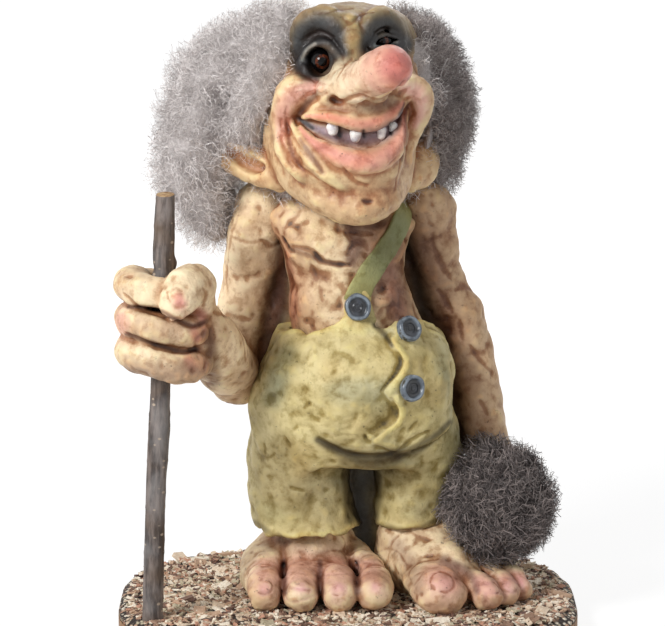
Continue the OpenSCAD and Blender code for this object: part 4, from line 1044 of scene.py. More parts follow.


# drawn in: height, and how far that side of the jaw goes in; eyes: angle and share of the skull's height
# flesh: angle, share, distance out and radius, then the blend; nose: px, py, y and radius
# cheeks to lower lip: px, py, height over the surface and radius; kept fresh: free of the wash and the painted
# shade
head = {
    "drawnInLeft": [(190, 6.5), (201, 7), (213, 7.5), (231, 8.5), (248, 5), (262, 2), (272, 0)],
    "drawnInRight": [(190, 2.5), (206, 3), (222, 4), (240, 4.5), (256, 4.2), (266, 2), (274, 0)],
    "chinLift": 4.2,
    "flesh": [
        ([[-34, .66, -2, 4.5], [-47, .61, 0, 6.5], [-54, .52, 0, 6], [-52, .40, -1, 5], [-45, .28, -4, 4]], 5),
        ([[48, .68, -1, 5], [58, .60, 0, 6.5], [62, .48, -1, 5]], 5),
        ([[-26, .14, -7, 9], [5, .10, -4, 12], [40, .14, -5, 9]], 7),
        ([[-36, .56, -2, 6], [-14, .565, 0, 7], [6, .56, 1, 7.5], [24, .575, 0, 7], [40, .62, -1, 5.5]], 6),
        ([[-38, .36, -3, 7], [-18, .31, -2, 8], [7, .28, -1, 8.5], [29, .30, -1, 8], [43, .42, -2, 6]], 6),
    ],
    "voxel": 0.84, "eyes": [(-25, 0.76), (32, 0.85)],
    "nose": [
        [351, 53, -50, 4.5], [346, 72, -56, 6.4], [346, 86, -63, 8.0], [356, 83, -71, 9.0], [369, 77, -79, 9.5],
        [381, 71, -87, 10.1], [389.5, 68, -91.5, 10.5],
    ],
    "cheeks": [
        [[336, 85, -2, 3.5], [318, 84, -.5, 5], [300, 88, .5, 6.5], [286, 98, 1, 7.2], [277, 115, 1, 7],
         [277, 135, 0, 6], [285, 155, -.5, 5], [299, 173, -1, 4]],
        [[291, 126, .5, 3.4], [299, 141, .5, 4], [311, 156, .3, 4.2], [325, 171, -.4, 3.8], [339, 183, -1, 3]],
        [[403, 85, 0, 4], [417, 86, .6, 5.6], [427, 96, .8, 6.2], [430, 111, .3, 5.8], [427, 131, -.5, 4.8],
         [421, 156, -1, 4]],
    ],
    "brows": [
        [[299, 45, -1, 4], [302, 31, .5, 5.6], [311, 21, 1, 6.2], [325, 17, 1, 6], [337, 24, .6, 5.4],
         [344, 38, -.5, 4.2]],
        [[365, 38, -.5, 4], [371, 24, .8, 5.4], [382, 18, 1, 6], [393, 26, .5, 5.4], [399, 42, -1, 4]],
        [[350, 24, -1, 5.5], [352, 38, -1, 6], [350, 54, -1, 6.5]],
    ],
    "lids": [
        [[300, 63, 0, 1.5], [306, 52, 1, 2.1], [318, 44.5, 1.4, 2.3], [330, 45.5, 1, 2.1], [339, 55, 0, 1.6]],
        [[302, 66, 0, 1.4], [312, 76, .8, 2.0], [324, 80, 1, 2.1], [335, 75, .8, 2.0], [341, 64, 0, 1.5]],
        [[372, 44, 0, 1.6], [379, 37, 1.2, 2.6], [390, 36, 1.2, 2.6], [400, 41, 0, 1.6]],
        [[371, 47, 0, 1.6], [380, 50, 1.6, 2.8], [391, 50, 1.4, 2.6], [401, 44, 0, 1.6]],
    ],
    "mouth": [
        [299, 120, 1, 1.4], [309, 126, 2, 3.4], [324, 131, 2.6, 4.8], [343, 137, 2.8, 5.6], [362, 139, 2.8, 5.8],
        [380, 135, 2.6, 5.4], [395, 126, 2.2, 4.4], [407, 112, 1, 2],
    ],
    "gum": [
        [302, 122, -5, 3.4], [324, 131, -6, 5.6], [343, 136, -6.2, 6.4], [362, 138, -6.2, 6.6], [380, 134, -6, 6.2],
        [395, 125, -5.6, 5], [405, 114, -5, 3.4],
    ],
    "upper": [
        [296, 117, 0, 1.6], [310, 116, .6, 2.6], [326, 117, 1.2, 3.4], [343, 120, 1.8, 4.0], [361, 124, 2.2, 4.2],
        [377, 121, 2, 4.0], [391, 114, 1.5, 3.4], [403, 106, .6, 2.4], [411, 100, 0, 1.5],
    ],
    "lower": [
        [297, 126, 0, 1.6], [312, 140, .6, 3], [329, 151, 1.5, 4.6], [346, 158, 2.2, 5.8], [362, 162, 2.6, 6.4],
        [379, 159, 2.4, 6.2], [394, 148, 1.8, 5.2], [405, 132, .8, 3.8], [412, 112, 0, 1.8],
    ],
    "furrows": [
        ([(327, 93), (312, 101), (300, 111), (294, 120), (297, 128)], 1.5, 2.2),
        ([(284, 126), (294, 141), (309, 158), (324, 176)], 1.1, 1.8),
        ([(273, 132), (284, 155), (294, 171)], .9, 1.3), ([(276, 136), (293, 161), (320, 180)], .8, 1.1),
        ([(298, 137), (314, 158), (326, 174)], .9, 1.3), ([(293, 88), (306, 85.5), (321, 86)], .7, 1.0),
        ([(295, 93), (307, 92), (321, 93)], .7, 1.0), ([(301, 97), (311, 92), (323, 88)], .6, .8),
        ([(286, 104), (282, 118), (284, 134)], .7, .9), ([(279, 108), (276, 124), (279, 142)], .6, .7),
        ([(339, 75), (346, 64), (354, 57)], .8, 1.0), ([(344, 71), (352, 63), (361, 59)], .7, .8),
        ([(336, 80), (342, 70), (349, 62)], .7, .8),
        ([(331, 99), (341, 102), (360, 96), (378, 101), (393, 93), (404, 81)], 1.5, 1.4),
        ([(397, 95), (404, 93), (412, 88)], 1.3, 1.4), ([(408, 92), (418, 92), (426, 96)], .6, .7),
        ([(410, 98), (420, 99), (428, 104)], .6, .7), ([(343, 167), (351, 178), (359, 184), (368, 185)], 1.1, 1.2),
        ([(363, 201), (367, 203.5), (372, 202)], 1.4, 1.3),
        ([(411, 108), (409, 132), (403, 160), (397, 190)], 1.1, 1.6),
        ([(416, 112), (417, 134), (412, 158)], .8, .9), ([(314, 13), (324, 13), (334, 11), (352, 9)], .8, .8),
        ([(341, 15), (349, 23), (354, 21), (364, 14), (375, 12)], .9, 1.1),
        ([(346, 31), (352, 29), (358, 31)], .7, .7), ([(352, 50), (352, 55)], .8, .7),
        ([(308, 38), (320, 33), (334, 37)], 1.1, 1.1), ([(374, 33), (384, 29), (394, 34)], 1.0, 1.0),
        ([(304, 69), (314, 80), (327, 84)], .8, .8), ([(336, 43), (342, 52), (344, 62)], .8, .9),
        ([(311, 138), (322, 145), (333, 150)], .5, .5), ([(385, 168), (396, 158), (402, 146)], .7, .7),
    ],
    "brushed": [
        ([(290, 30, 30), (345, 18, 32), (400, 30, 30)], (140, 124, 84), .8),
        ([(298, 48, 13), (303, 32, 15), (322, 25, 15), (342, 34, 11)], (46, 50, 54), .97),
        ([(300, 62, 14), (322, 60, 23), (341, 60, 14)], (36, 38, 42), .98),
        ([(367, 44, 12), (374, 27, 12), (389, 25, 14), (402, 42, 13)], (44, 48, 50), .97),
        ([(368, 44, 9), (386, 42, 14), (406, 46, 9)], (28, 29, 32), .98),
        ([(352, 22, 8), (352, 40, 8), (350, 56, 8)], (182, 164, 116), .9),
        ([(303, 56, 8), (310, 45, 8), (323, 39, 8), (336, 43, 8), (344, 54, 7)], (30, 32, 36), .97),
        ([(300, 68, 8), (312, 77, 7), (326, 80, 6), (338, 76, 6), (343, 66, 5)], (30, 30, 34), .95),
        ([(322, 87, 6), (302, 90, 9), (287, 100, 10), (279, 116, 10), (279, 136, 8)], (246, 192, 178), .85),
        ([(282, 140, 7), (290, 158, 7), (302, 172, 6)], (222, 164, 122), .5),
        ([(404, 86, 6), (420, 92, 9), (429, 106, 9), (426, 124, 6)], (244, 190, 176), .85),
        # painted highlights on the lids
        ([(302, 60, 1.6), (307, 51, 2.4), (315, 44, 1.8)], (150, 158, 156), .9),
        ([(375, 45, 1.4), (386, 41, 2.2), (397, 42, 1.4)], (120, 128, 128), .8),
        # the grey-brown over the upper lip
        ([(332, 104, 7), (360, 107, 9), (392, 102, 8)], (146, 122, 100), .7),
        # the wash and painted shade in the cheek furrows
        ([(300, 140, 3), (311, 155, 3), (322, 172, 2)], (130, 92, 74), .7),
        ([(284, 130, 2), (290, 152, 2.4), (304, 170, 2)], (150, 104, 84), .65),
        # darker over the chin
        ([(335, 206, 22), (366, 210, 24), (395, 200, 18)], (206, 170, 132), .45),
        # the wash and painted shade in the furrow from the nose to the mouth
        ([(318, 92, 3), (306, 103, 4), (297, 116, 4)], (96, 68, 54), .75),
        # the lips, then the gum
        ([(305, 116, 2), (326, 117, 4.6), (343, 120, 5.6), (361, 124, 6.2), (378, 121, 5.6), (393, 113, 5),
          (406, 103, 3)], (226, 150, 130), .92),
        ([(299, 128, 2), (312, 141, 5), (330, 152, 8.5), (347, 159, 10.5), (362, 162, 11.5), (379, 159, 11.5),
          (394, 148, 9.5), (406, 130, 6), (411, 112, 3)], (226, 154, 138), .93),
        ([(300, 121, 2), (312, 127, 4.5), (326, 132, 7), (343, 137, 9), (362, 139, 9.5), (380, 135, 9),
          (395, 126, 7), (406, 113, 3)], (150, 132, 142), .97),
        # painted shade in the mouth's corners and in the gaps beside the teeth
        ([(297, 119, 2), (305, 124, 3), (312, 128, 2.4)], (30, 22, 24), .95),
        ([(338.5, 128, 2.6), (339.5, 136, 2.6)], (20, 14, 16), .97),
        ([(363.5, 131, 2), (364, 137, 1.8)], (30, 22, 26), .95),
        ([(391.5, 124, 2), (392, 134, 2)], (16, 12, 14), .97), ([(402, 114, 3), (408, 104, 2)], (60, 44, 48), .9),
        # the wash and painted shade in the chin's dimple and in the right cheek's furrow
        ([(363, 201.5, 2), (367, 203, 3), (371, 202, 2)], (84, 54, 44), .85),
        ([(412, 104, 2.5), (412, 130, 2.5), (405, 160, 2.5)], (120, 92, 78), .7),
    ],
    "keptFresh": [
        ([(303, 121, 2), (312, 127, 5), (326, 132, 8), (343, 137, 10), (362, 139, 10.5), (380, 135, 10),
          (393, 127, 7), (399, 121, 2)], .75),
        ([(372, 78, 14), (392, 66, 18)], .5), ([(330, 146, 8), (362, 158, 11), (395, 144, 8)], .45),
        ([(280, 112, 8), (292, 92, 8), (310, 88, 6)], .5), ([(416, 92, 8), (426, 104, 8)], .45),
    ],
}


def makeHead():
    clay = Clay((-74, -104, 186), (56, 42, 304), head["voxel"])
    clay.loft(skullForm(), cap=8)
    # the cheekbones and the chin, then the soft part over the mouth and the part under it
    for rows, blend in head["flesh"]:
        faceLimb(clay, rows, blend)
    for rows in head["cheeks"] + head["brows"]:
        clay.limb(clay.laid(rows), 2.6, 1)
    # all four lie on the surface as it is before the mouth is cut
    mouth, gum, upper, lower = (clay.laid(head[part]) for part in ("mouth", "gum", "upper", "lower"))
    clay.limb(mouth, 1.5, 1, carve=True)
    for rows, blend in ((gum, .8), (upper, 1.3), (lower, 1.8)):
        clay.limb(rows, blend, 1)
    # sockets, then lids round each opening, then the hollow for the glass
    for (angle, share), size in zip(head["eyes"], ((8.5, 9), (8, 5.5))):
        clay.ball(onFace(angle, share, 7.5), (size[0], 8, size[1]), 3.5, carve=True)
    for rows in head["lids"]:
        clay.limb(clay.laid(rows), 1.2, 1)
    for (angle, share), (wide, tall) in zip(head["eyes"], ((6.6, 7.2), (5.4, 1.5))):
        clay.ball(onFace(angle, share, 2), (wide, 9, tall), 1.4, carve=True)
        clay.ball(onFace(angle, share, -4), 5.9, .5, carve=True)
    clay.limb([[*atDepth(*r[:3]), r[3]] for r in head["nose"]], 3)
    for spot, r in (((-11, .64, 6), 6.8), ((16, .665, 11), 7.6)):
        clay.ball(onFace(*spot), r, 3)
    clay.ball(onFace(-7, .605, 12), (3.2, 4.5, 2.4), 2, carve=True)
    clay.ball(onFace(10, .62, 18), (3.4, 4.5, 2.4), 2, carve=True)
    # the ears, the right one with a hollow in it
    for root, tip, deep in ((onFace(-100, .19, 0), onFace(-104, .37, 27), 4),
                            (onFace(112, .18, 2), onFace(112, .33, 10), 0)):
        lobe = root + .45 * (tip - root) + (0, 0, -3)
        clay.limb([[*root, 8], [*lobe, 8.8], [*(lobe + .6 * (tip - lobe)), 5.8], [*tip, 2.4]], 4,
                  squash=(1, .68, 1))
        dent = lobe + (0, -7.4, 1)
        if deep:
            hollow = [[*(root + .6 * (dent - root)), .6 * deep], [*dent, deep],
                      [*(dent + .6 * (tip - dent) + (0, -2.4, 0)), .4 * deep]]
            clay.limb(hollow, 1.6, carve=True)
    clay.loft([[2, -4, 186, 16, 18], [0, 0, 204, 22, 22], [-1, 4, 220, 27, 27]], 6)
    roughen(clay, 0.4, 0.3, 0.25, 0.25, 81)
    clay.furrows(head["furrows"], 1.5)
    # the neck's end fits over the chest
    chest = clay.like()
    chest.loft(trunkForm(), grow=-3.0)
    clay.field = np.maximum(clay.field, -chest.field)
    cast("headCasting", clay, headPaint, facePaint, "skin", "head", bend=slimJaw)


def slimJaw(points):
    # draws the jaw in at both sides and lifts the chin; the nose, the eyes and the ears' tips stay
    x, y, z = points.T
    toLeft = np.interp(z, *zip(*head["drawnInLeft"])) * np.interp(x, [14, 42, 58], [0, 1, .6])
    toRight = np.interp(z, *zip(*head["drawnInRight"])) * np.interp(-x, [14, 44, 60], [0, 1, 0])
    lift = head["chinLift"] * np.clip((215 - z) / 25, 0, 1) ** 1.5 * np.interp(y, [-20, -6], [1, 0])
    return points + np.column_stack([(toRight - toLeft) * np.interp(y, [-64, -50], [0, 1]), 0 * y, lift])


def headPaint(points):
    tint = bodyPaint(points, (224, 192, 148), (), 85)
    brushAll(points, tint, head["brushed"], -14)
    nose = [atDepth(*r[:3]) for r in head["nose"]]
    dab(points, tint, nose[2:], 13, (248, 228, 192), .95, 3)
    dab(points, tint, nose[4:6], 11, (242, 200, 180), .6, 1.5)
    dab(points, tint, nose[-1:] + [nose[-1] + (4, -6, 2)], 12.5, (208, 116, 110), .95, 2)
    # the gums, the lips and the high parts keep clear of the wash and the painted shade
    fresh = np.ones((len(points), 3))
    brushAll(points, fresh, [(line, (0, 0, 0), strength) for line, strength in head["keptFresh"]], -14)
    return np.clip(np.column_stack([tint, fresh[:, 0]]), 0, 1)


# wash and painted shade, pores and deepest painted shade, worn paint and painted highlight, then gloss
facePaint = paintedCasting("face paint", rgba(202, 170, 152), rgba(42, 28, 26), rgba(226, 218, 210), 0.32)


def makeEyes():
    material, tree = startMaterial("glass eye")
    ring = add(tree, "ShaderNodeAttribute", {"attribute_name": "fromPupil"}).outputs["Fac"]
    coords = add(tree, "ShaderNodeTexCoord").outputs["Object"]
    grain = speckle(tree, coords, 900, 3)
    iris = blendColour(tree, ranged(tree, grain, .35, .65), rgba(44, 18, 9), rgba(96, 44, 22))
    colour = blendColour(tree, ranged(tree, ring, 20, 25), rgba(3, 3, 4), iris)
    colour = blendColour(tree, ranged(tree, ring, 36, 42), colour, rgba(8, 7, 8))
    shader = add(tree, "ShaderNodeBsdfPrincipled", Base_Color=colour, Roughness=0.08)
    shader.inputs["Specular IOR Level"].default_value = 0.2
    endMaterial(tree, shader)
    for name, node, look in (("rightGlassEye", "right_eye", (0.05, -1, -0.02)),
                             ("leftGlassEye", "left_eye", (-0.1, -1, -0.05))):
        low, high = (np.array(v) * 1000 - (0, 0, groundLevel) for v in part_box(node))
        middle, r = (low + high) / 2, (high[0] - low[0]) / 2
        look = unit(look)
        rows, cols = 40, 56
        points = []
        side = unit(np.cross(look, (0, 0, 1)))
        up = np.cross(side, look)
        for i in range(1, rows):
            a = math.pi * i / rows
            swell = r * (1 + 0.06 * math.exp(-(math.degrees(a) / 30) ** 2))
            for j in range(cols):
                b = 2 * math.pi * j / cols
                spoke = side * math.cos(b) + up * math.sin(b)
                points.append(middle + swell * (look * math.cos(a) + math.sin(a) * spoke))
        front, back, last = len(points), len(points) + 1, (rows - 2) * cols
        points = np.array(points + [middle + look * r * 1.06, middle - look * r])
        faces = ringFaces(rows - 1, cols)
        for j in range(cols):
            faces += [(front, (j + 1) % cols, j), (back, last + j, last + (j + 1) % cols)]
        mesh = newMesh(name, points, outward(points, np.array(faces)))
        away = ((points - middle) @ look) / np.linalg.norm(points - middle, axis=1)
        mark(mesh, "fromPupil", np.degrees(np.arccos(np.clip(away, -1, 1))))
        place(name, mesh, material, "eye", node)


# spots: angle, share of the skull's height, half width, length and tilt
teeth = {
    "spots": [
        (-7.5, .466, 2.7, 1.4, -3), (6.5, .44, 2.8, 1.8, 2), (22.5, .448, 2.3, 2.2, 4), (30.5, .466, 1.9, 1.8, 8),
    ],
    "out": 2.0,
}


def makeTeeth():
    material, tree = startMaterial("tooth")
    coords = add(tree, "ShaderNodeTexCoord").outputs["Object"]
    colour = blendColour(tree, ranged(tree, speckle(tree, coords, 260, 3), .4, .7), rgba(246, 244, 240),
                         rgba(206, 204, 210))
    # painted shade in the teeth's hollows
    hollow = add(tree, "ShaderNodeAttribute", {"attribute_name": "hollow"}).outputs["Fac"]
    colour = blendColour(tree, ranged(tree, hollow, -1.4, -4.0), colour, rgba(150, 136, 128))
    endMaterial(tree, add(tree, "ShaderNodeBsdfPrincipled", Base_Color=colour, Roughness=0.22))
    low, high = onFace(10, .40, 0), onFace(10, .50, 0)
    clay = Clay((-16, -78, low[2] - 10), (34, -38, high[2] + 10), 0.32)
    for angle, share, half, tall, tilt in teeth["spots"]:
        p = onFace(angle, share, teeth["out"])
        a = math.radians(angle)
        top = p + np.array((math.sin(math.radians(tilt)), 0, math.cos(math.radians(tilt)))) * tall * .55
        clay.limb([[*(p - (top - p)), half * .92], [*top, half * 1.02]], 0.4, squash=(1, .8, 1))
        clay.limb([[*top, half * .8], [*(top + (-4.5 * math.sin(a), 4.5 * math.cos(a), 1)), half * .8]], 1.0)
    clay.field += 0.12 * clay.noise(1.8, 91)
    cast("toothSet", clay, lambda p: np.ones((len(p), 3)), material, "tooth", "teeth")


# places: angle, height, tilt, how far out and the form below; profile: shares of the radius and height
buttons = {
    "r": 6.5, "tall": 3.4, "turns": 60,
    "places": [(6, 151, 8, 4.2, "trunk"), (37, 139, 25, 3.4, "belly"), (32, 113, 9, 3.4, "belly")],
    "profile": [
        (0, -2.6), (.30, -2.6), (.30, -.4), (.95, -.3), (1.0, 0), (1.03, .35), (1.0, .75), (.92, .98), (.82, 1.0),
        (.74, .92), (.70, .70), (.66, .58), (.40, .56), (.36, .66), (.30, .70), (.24, .66), (.20, .56), (0, .55),
    ],
}


def makeButtons():
    material, tree = startMaterial("slate button")
    coords = add(tree, "ShaderNodeTexCoord").outputs["Object"]
    out = add(tree, "ShaderNodeAttribute", {"attribute_name": "out"}).outputs["Fac"]
    worn = speckle(tree, coords, 300, 4)
    dark = blendColour(tree, ranged(tree, worn, .4, .7), rgba(26, 28, 32), rgba(58, 62, 70))
    rim = blendColour(tree, ranged(tree, worn, .3, .62), rgba(78, 86, 96), rgba(126, 136, 146))
    colour = blendColour(tree, ranged(tree, out, .62, .78), dark, rim)
    chipped = maths(tree, "MULTIPLY", ranged(tree, worn, .5, .62), ranged(tree, out, .93, 1.0))
    colour = blendColour(tree, chipped, colour, rgba(60, 58, 50))
    bump = add(tree, "ShaderNodeBump", Strength=0.5, Distance=0.0004, Height=worn).outputs[0]
    shader = add(tree, "ShaderNodeBsdfPrincipled", Base_Color=colour, Roughness=0.3, Normal=bump)
    endMaterial(tree, shader)
    profile, turns = buttons["profile"], buttons["turns"]
    rng = np.random.default_rng(7)
    points, faces, outs = [], [], []
    for angle, height, tilt, off, form in buttons["places"]:
        middle = onForm(trunkForm() if form == "trunk" else bellyForm(), angle, height, 0)
        a, t = math.radians(angle), math.radians(tilt)
        normal = np.array((math.sin(a) * math.cos(t), -math.cos(a) * math.cos(t), math.sin(t)))
        side = unit(np.cross((0, 0, 1), normal))
        up = np.cross(normal, side)
        first, wave = len(points), rng.uniform(0, 6.3, 3)
        for r, h in profile[1:-1]:
            for k in range(turns):
                b = 2 * math.pi * k / turns
                wobble = 1 + .025 * math.sin(2 * b + wave[0]) + .018 * math.sin(5 * b + wave[1])
                lift = .12 * math.sin(3 * b + wave[2])
                over = off + h * buttons["tall"] * (1 if h > 0 else .5) + lift * (h > 0)
                spoke = buttons["r"] * r * wobble * (side * math.cos(b) + up * math.sin(b))
                points.append(middle + normal * over + spoke)
                outs.append(r)
        faces += ringFaces(len(profile) - 2, turns, first)
        for end, ring, flip in ((profile[0][1] * .5, first, True),
                                (profile[-1][1], first + (len(profile) - 3) * turns, False)):
            points.append(middle + normal * (off + end * buttons["tall"]))
            outs.append(0)
            c = len(points) - 1
            for k in range(turns):
                p, q = ring + k, ring + (k + 1) % turns
                faces.append((c, q, p) if flip else (c, p, q))
    points = np.array(points)
    mesh = newMesh("buttonSet", points, outward(points, np.array(faces)))
    mark(mesh, "out", outs)
    place("buttonSet", mesh, material, "button", "buttons")


# wide to out in mm; path: angle round the trunk, height and tilt
strap = {
    "wide": 12.4, "thick": 2.3, "out": 1.2, "corners": 14,
    "path": [
        [5, 153, 0], [23, 168, 0], [42, 181, 5], [58, 192, 20], [84, 199, 45], [112, 199, 45], [136, 191, 20],
        [156, 170, 5], [166, 148, 0], [170, 136, 0],
    ],
}


def strapLine():
    # the strap's way over the trunk as angle, height and tilt, its middle there and the way out of the body
    rows = curveThrough(strap["path"], 14)
    tilts = [(math.radians(a), math.radians(t)) for a, z, t in rows]
    normals = [(math.sin(a) * math.cos(t), -math.cos(a) * math.cos(t), math.sin(t)) for a, t in tilts]
    return rows, np.array([onForm(trunkForm(), a, z) for a, z, t in rows]), np.array(normals)


def makeStrap():
    rows, middle, normals = strapLine()
    along = np.gradient(middle, axis=0)
    rng = np.random.default_rng(17)
    points, corners = [], strap["corners"]
    for i, n in enumerate(normals):
        side = unit(np.cross(n, along[i]))
        half = strap["wide"] / 2 * (1 + .03 * math.sin(i * .55) + .02 * rng.uniform(-1, 1))
        for k in range(corners):
            b = 2 * math.pi * k / corners
            cx, cy = math.cos(b), math.sin(b)
            across = half * math.copysign(abs(cx) ** .45, cx)
            bulge = .5 + .5 * math.copysign(abs(cy) ** .55, cy)
            out = strap["out"] + strap["thick"] * bulge + .35 * (1 - (across / half) ** 2)
            points.append(middle[i] + side * across + n * (out + .08 * rng.uniform(-1, 1)))
    points, faces = np.array(points), ringFaces(len(rows), corners)
    for ring, flip in ((0, True), ((len(rows) - 1) * corners, False)):
        for k in range(1, corners - 1):
            faces.append((ring, ring + k + 1, ring + k) if flip else (ring, ring + k, ring + k + 1))
    mesh = newMesh("shoulderStrap", points, outward(points, np.array(faces)))
    tint = np.ones((len(points), 3)) * np.array(rgb(164, 160, 104))
    dab(points, tint, [onForm(trunkForm(), a, z, 3) for a, z in ((30, 175), (48, 188))], 12, (112, 118, 84), .8)
    markTint(mesh, tint)
    # fixed values in place of the hollows, for how much wash and painted shade the strap takes
    mark(mesh, "hollow", np.full(len(points), .08))
    mark(mesh, "deep", np.full(len(points), .3))
    piece = place("shoulderStrap", mesh, trouserPaint, "strap", "strap")
    soften = piece.modifiers.new("soften", "SUBSURF")
    soften.levels = soften.render_levels = 1


# knots: height, the way it faces in degrees, and size
staff = {
    "r": 5.0, "tall": 210, "seat": 8, "turns": 44, "step": 0.8,
    "knots": [
        (176, 40, 2.0), (169, 200, 1.6), (118, 120, .8), (96, 300, 1.0), (40, 60, 1.0), (152, 330, .9),
        (196, 250, .8),
    ],
}


def makeStaff():
    material, tree = startMaterial("twig bark")
    coords = add(tree, "ShaderNodeTexCoord").outputs["Object"]
    long = add(tree, "ShaderNodeMapping", Vector=coords, Scale=(260.0, 260.0, 46.0)).outputs[0]
    streak = add(tree, "ShaderNodeTexNoise", Vector=long, Scale=1.0, Detail=6.0, Roughness=0.65).outputs[0]
    patch = speckle(tree, coords, 38, 3)
    colour = blendColour(tree, ranged(tree, streak, .36, .66), rgba(44, 36, 34), rgba(128, 116, 110))
    colour = blendColour(tree, ranged(tree, patch, .42, .70, 0, .8), colour, rgba(92, 74, 58))
    colour = blendColour(tree, ranged(tree, patch, .52, .30, 0, .55), colour, rgba(138, 134, 132))
    spread = add(tree, "ShaderNodeMapping", Vector=coords, Scale=(150.0, 150.0, 230.0)).outputs[0]
    dots = add(tree, "ShaderNodeTexVoronoi", {"feature": "F1"}, Vector=spread, Scale=1.0).outputs["Distance"]
    colour = blendColour(tree, ranged(tree, dots, .20, .10, 0, .8), colour, rgba(186, 168, 148))
    cut = add(tree, "ShaderNodeAttribute", {"attribute_name": "cut"}).outputs["Fac"]
    rings = add(tree, "ShaderNodeTexNoise", Vector=coords, Scale=700.0, Detail=3.0).outputs[0]
    sawn = blendColour(tree, ranged(tree, rings, .35, .65), rgba(150, 112, 76), rgba(206, 176, 132))
    colour = blendColour(tree, cut, colour, sawn)
    bump = add(tree, "ShaderNodeBump", Strength=0.8, Distance=0.0007, Height=streak).outputs[0]
    endMaterial(tree, add(tree, "ShaderNodeBsdfPrincipled", Base_Color=colour, Roughness=0.62, Normal=bump))
    h, seat = staff["tall"], staff["seat"]
    spine = curveThrough([[-96, -56, -seat, 1], [-96, -56, .5, 1], [-94, -55, .28 * h, .94],
                          [-92, -54, .45 * h, 1.04], [-91, -53, .56 * h, .95], [-89, -51, .80 * h, .94],
                          [-89, -50, .86 * h, 1.06], [-88, -48, h, .90]], 40)
    spine = spine[np.concatenate([[True], np.diff(spine[:, 2]) > 1e-3])]
    heights = np.arange(-seat, h + .01, staff["step"])
    rng = np.random.default_rng(23)
    ridges = rng.uniform(-1, 1, (len(heights) // 6 + 3, staff["turns"]))
    points, turns = [], staff["turns"]
    for i, z in enumerate(heights):
        x, y, f = (np.interp(z, spine[:, 2], spine[:, k]) for k in (0, 1, 3))
        row = i / 6
        share = row - int(row)
        for k in range(turns):
            b = 2 * math.pi * k / turns
            rough = ridges[int(row), k] * (1 - share) + ridges[int(row) + 1, k] * share
            swell = 0
            for at, way, size in staff["knots"]:
                aside = (math.degrees(b) - way + 180) % 360 - 180
                swell += size * math.exp(-((z - at) / 3.2) ** 2 - aside ** 2 / 1800)
            ring = .16 * math.exp(-((z % 23 - 11) / .9) ** 2)
            r = staff["r"] * f * (1 + .02 * math.sin(2 * b + z * .03)) + .16 * rough + swell + ring
            points.append((x + r * math.cos(b), y + r * math.sin(b), z + (.6 * math.sin(b) * (z > h - 1))))
    faces = ringFaces(len(heights), turns)
    cutMark = [0.0] * len(points)
    for base, flip in ((0, True), ((len(heights) - 1) * turns, False)):
        middle = np.mean(points[base:base + turns], 0)
        lift = 0 if flip else 0.25
        start = len(points)
        points += [middle + (np.array(p) - middle) * .93 + (0, 0, lift)
                   for p in points[base:base + turns]] + [middle]
        cutMark += [1.0] * (turns + 1)
        for k in range(turns):
            a, b, c, d = base + k, base + (k + 1) % turns, start + (k + 1) % turns, start + k
            faces += [t[::-1] if flip else t for t in ((a, b, c), (a, c, d), (d, c, start + turns))]
    points = np.array(points)
    mesh = newMesh("twigStaff", points, outward(points, np.array(faces)))
    mark(mesh, "cut", cutMark)
    place("twigStaff", mesh, material, "twig", "staff")


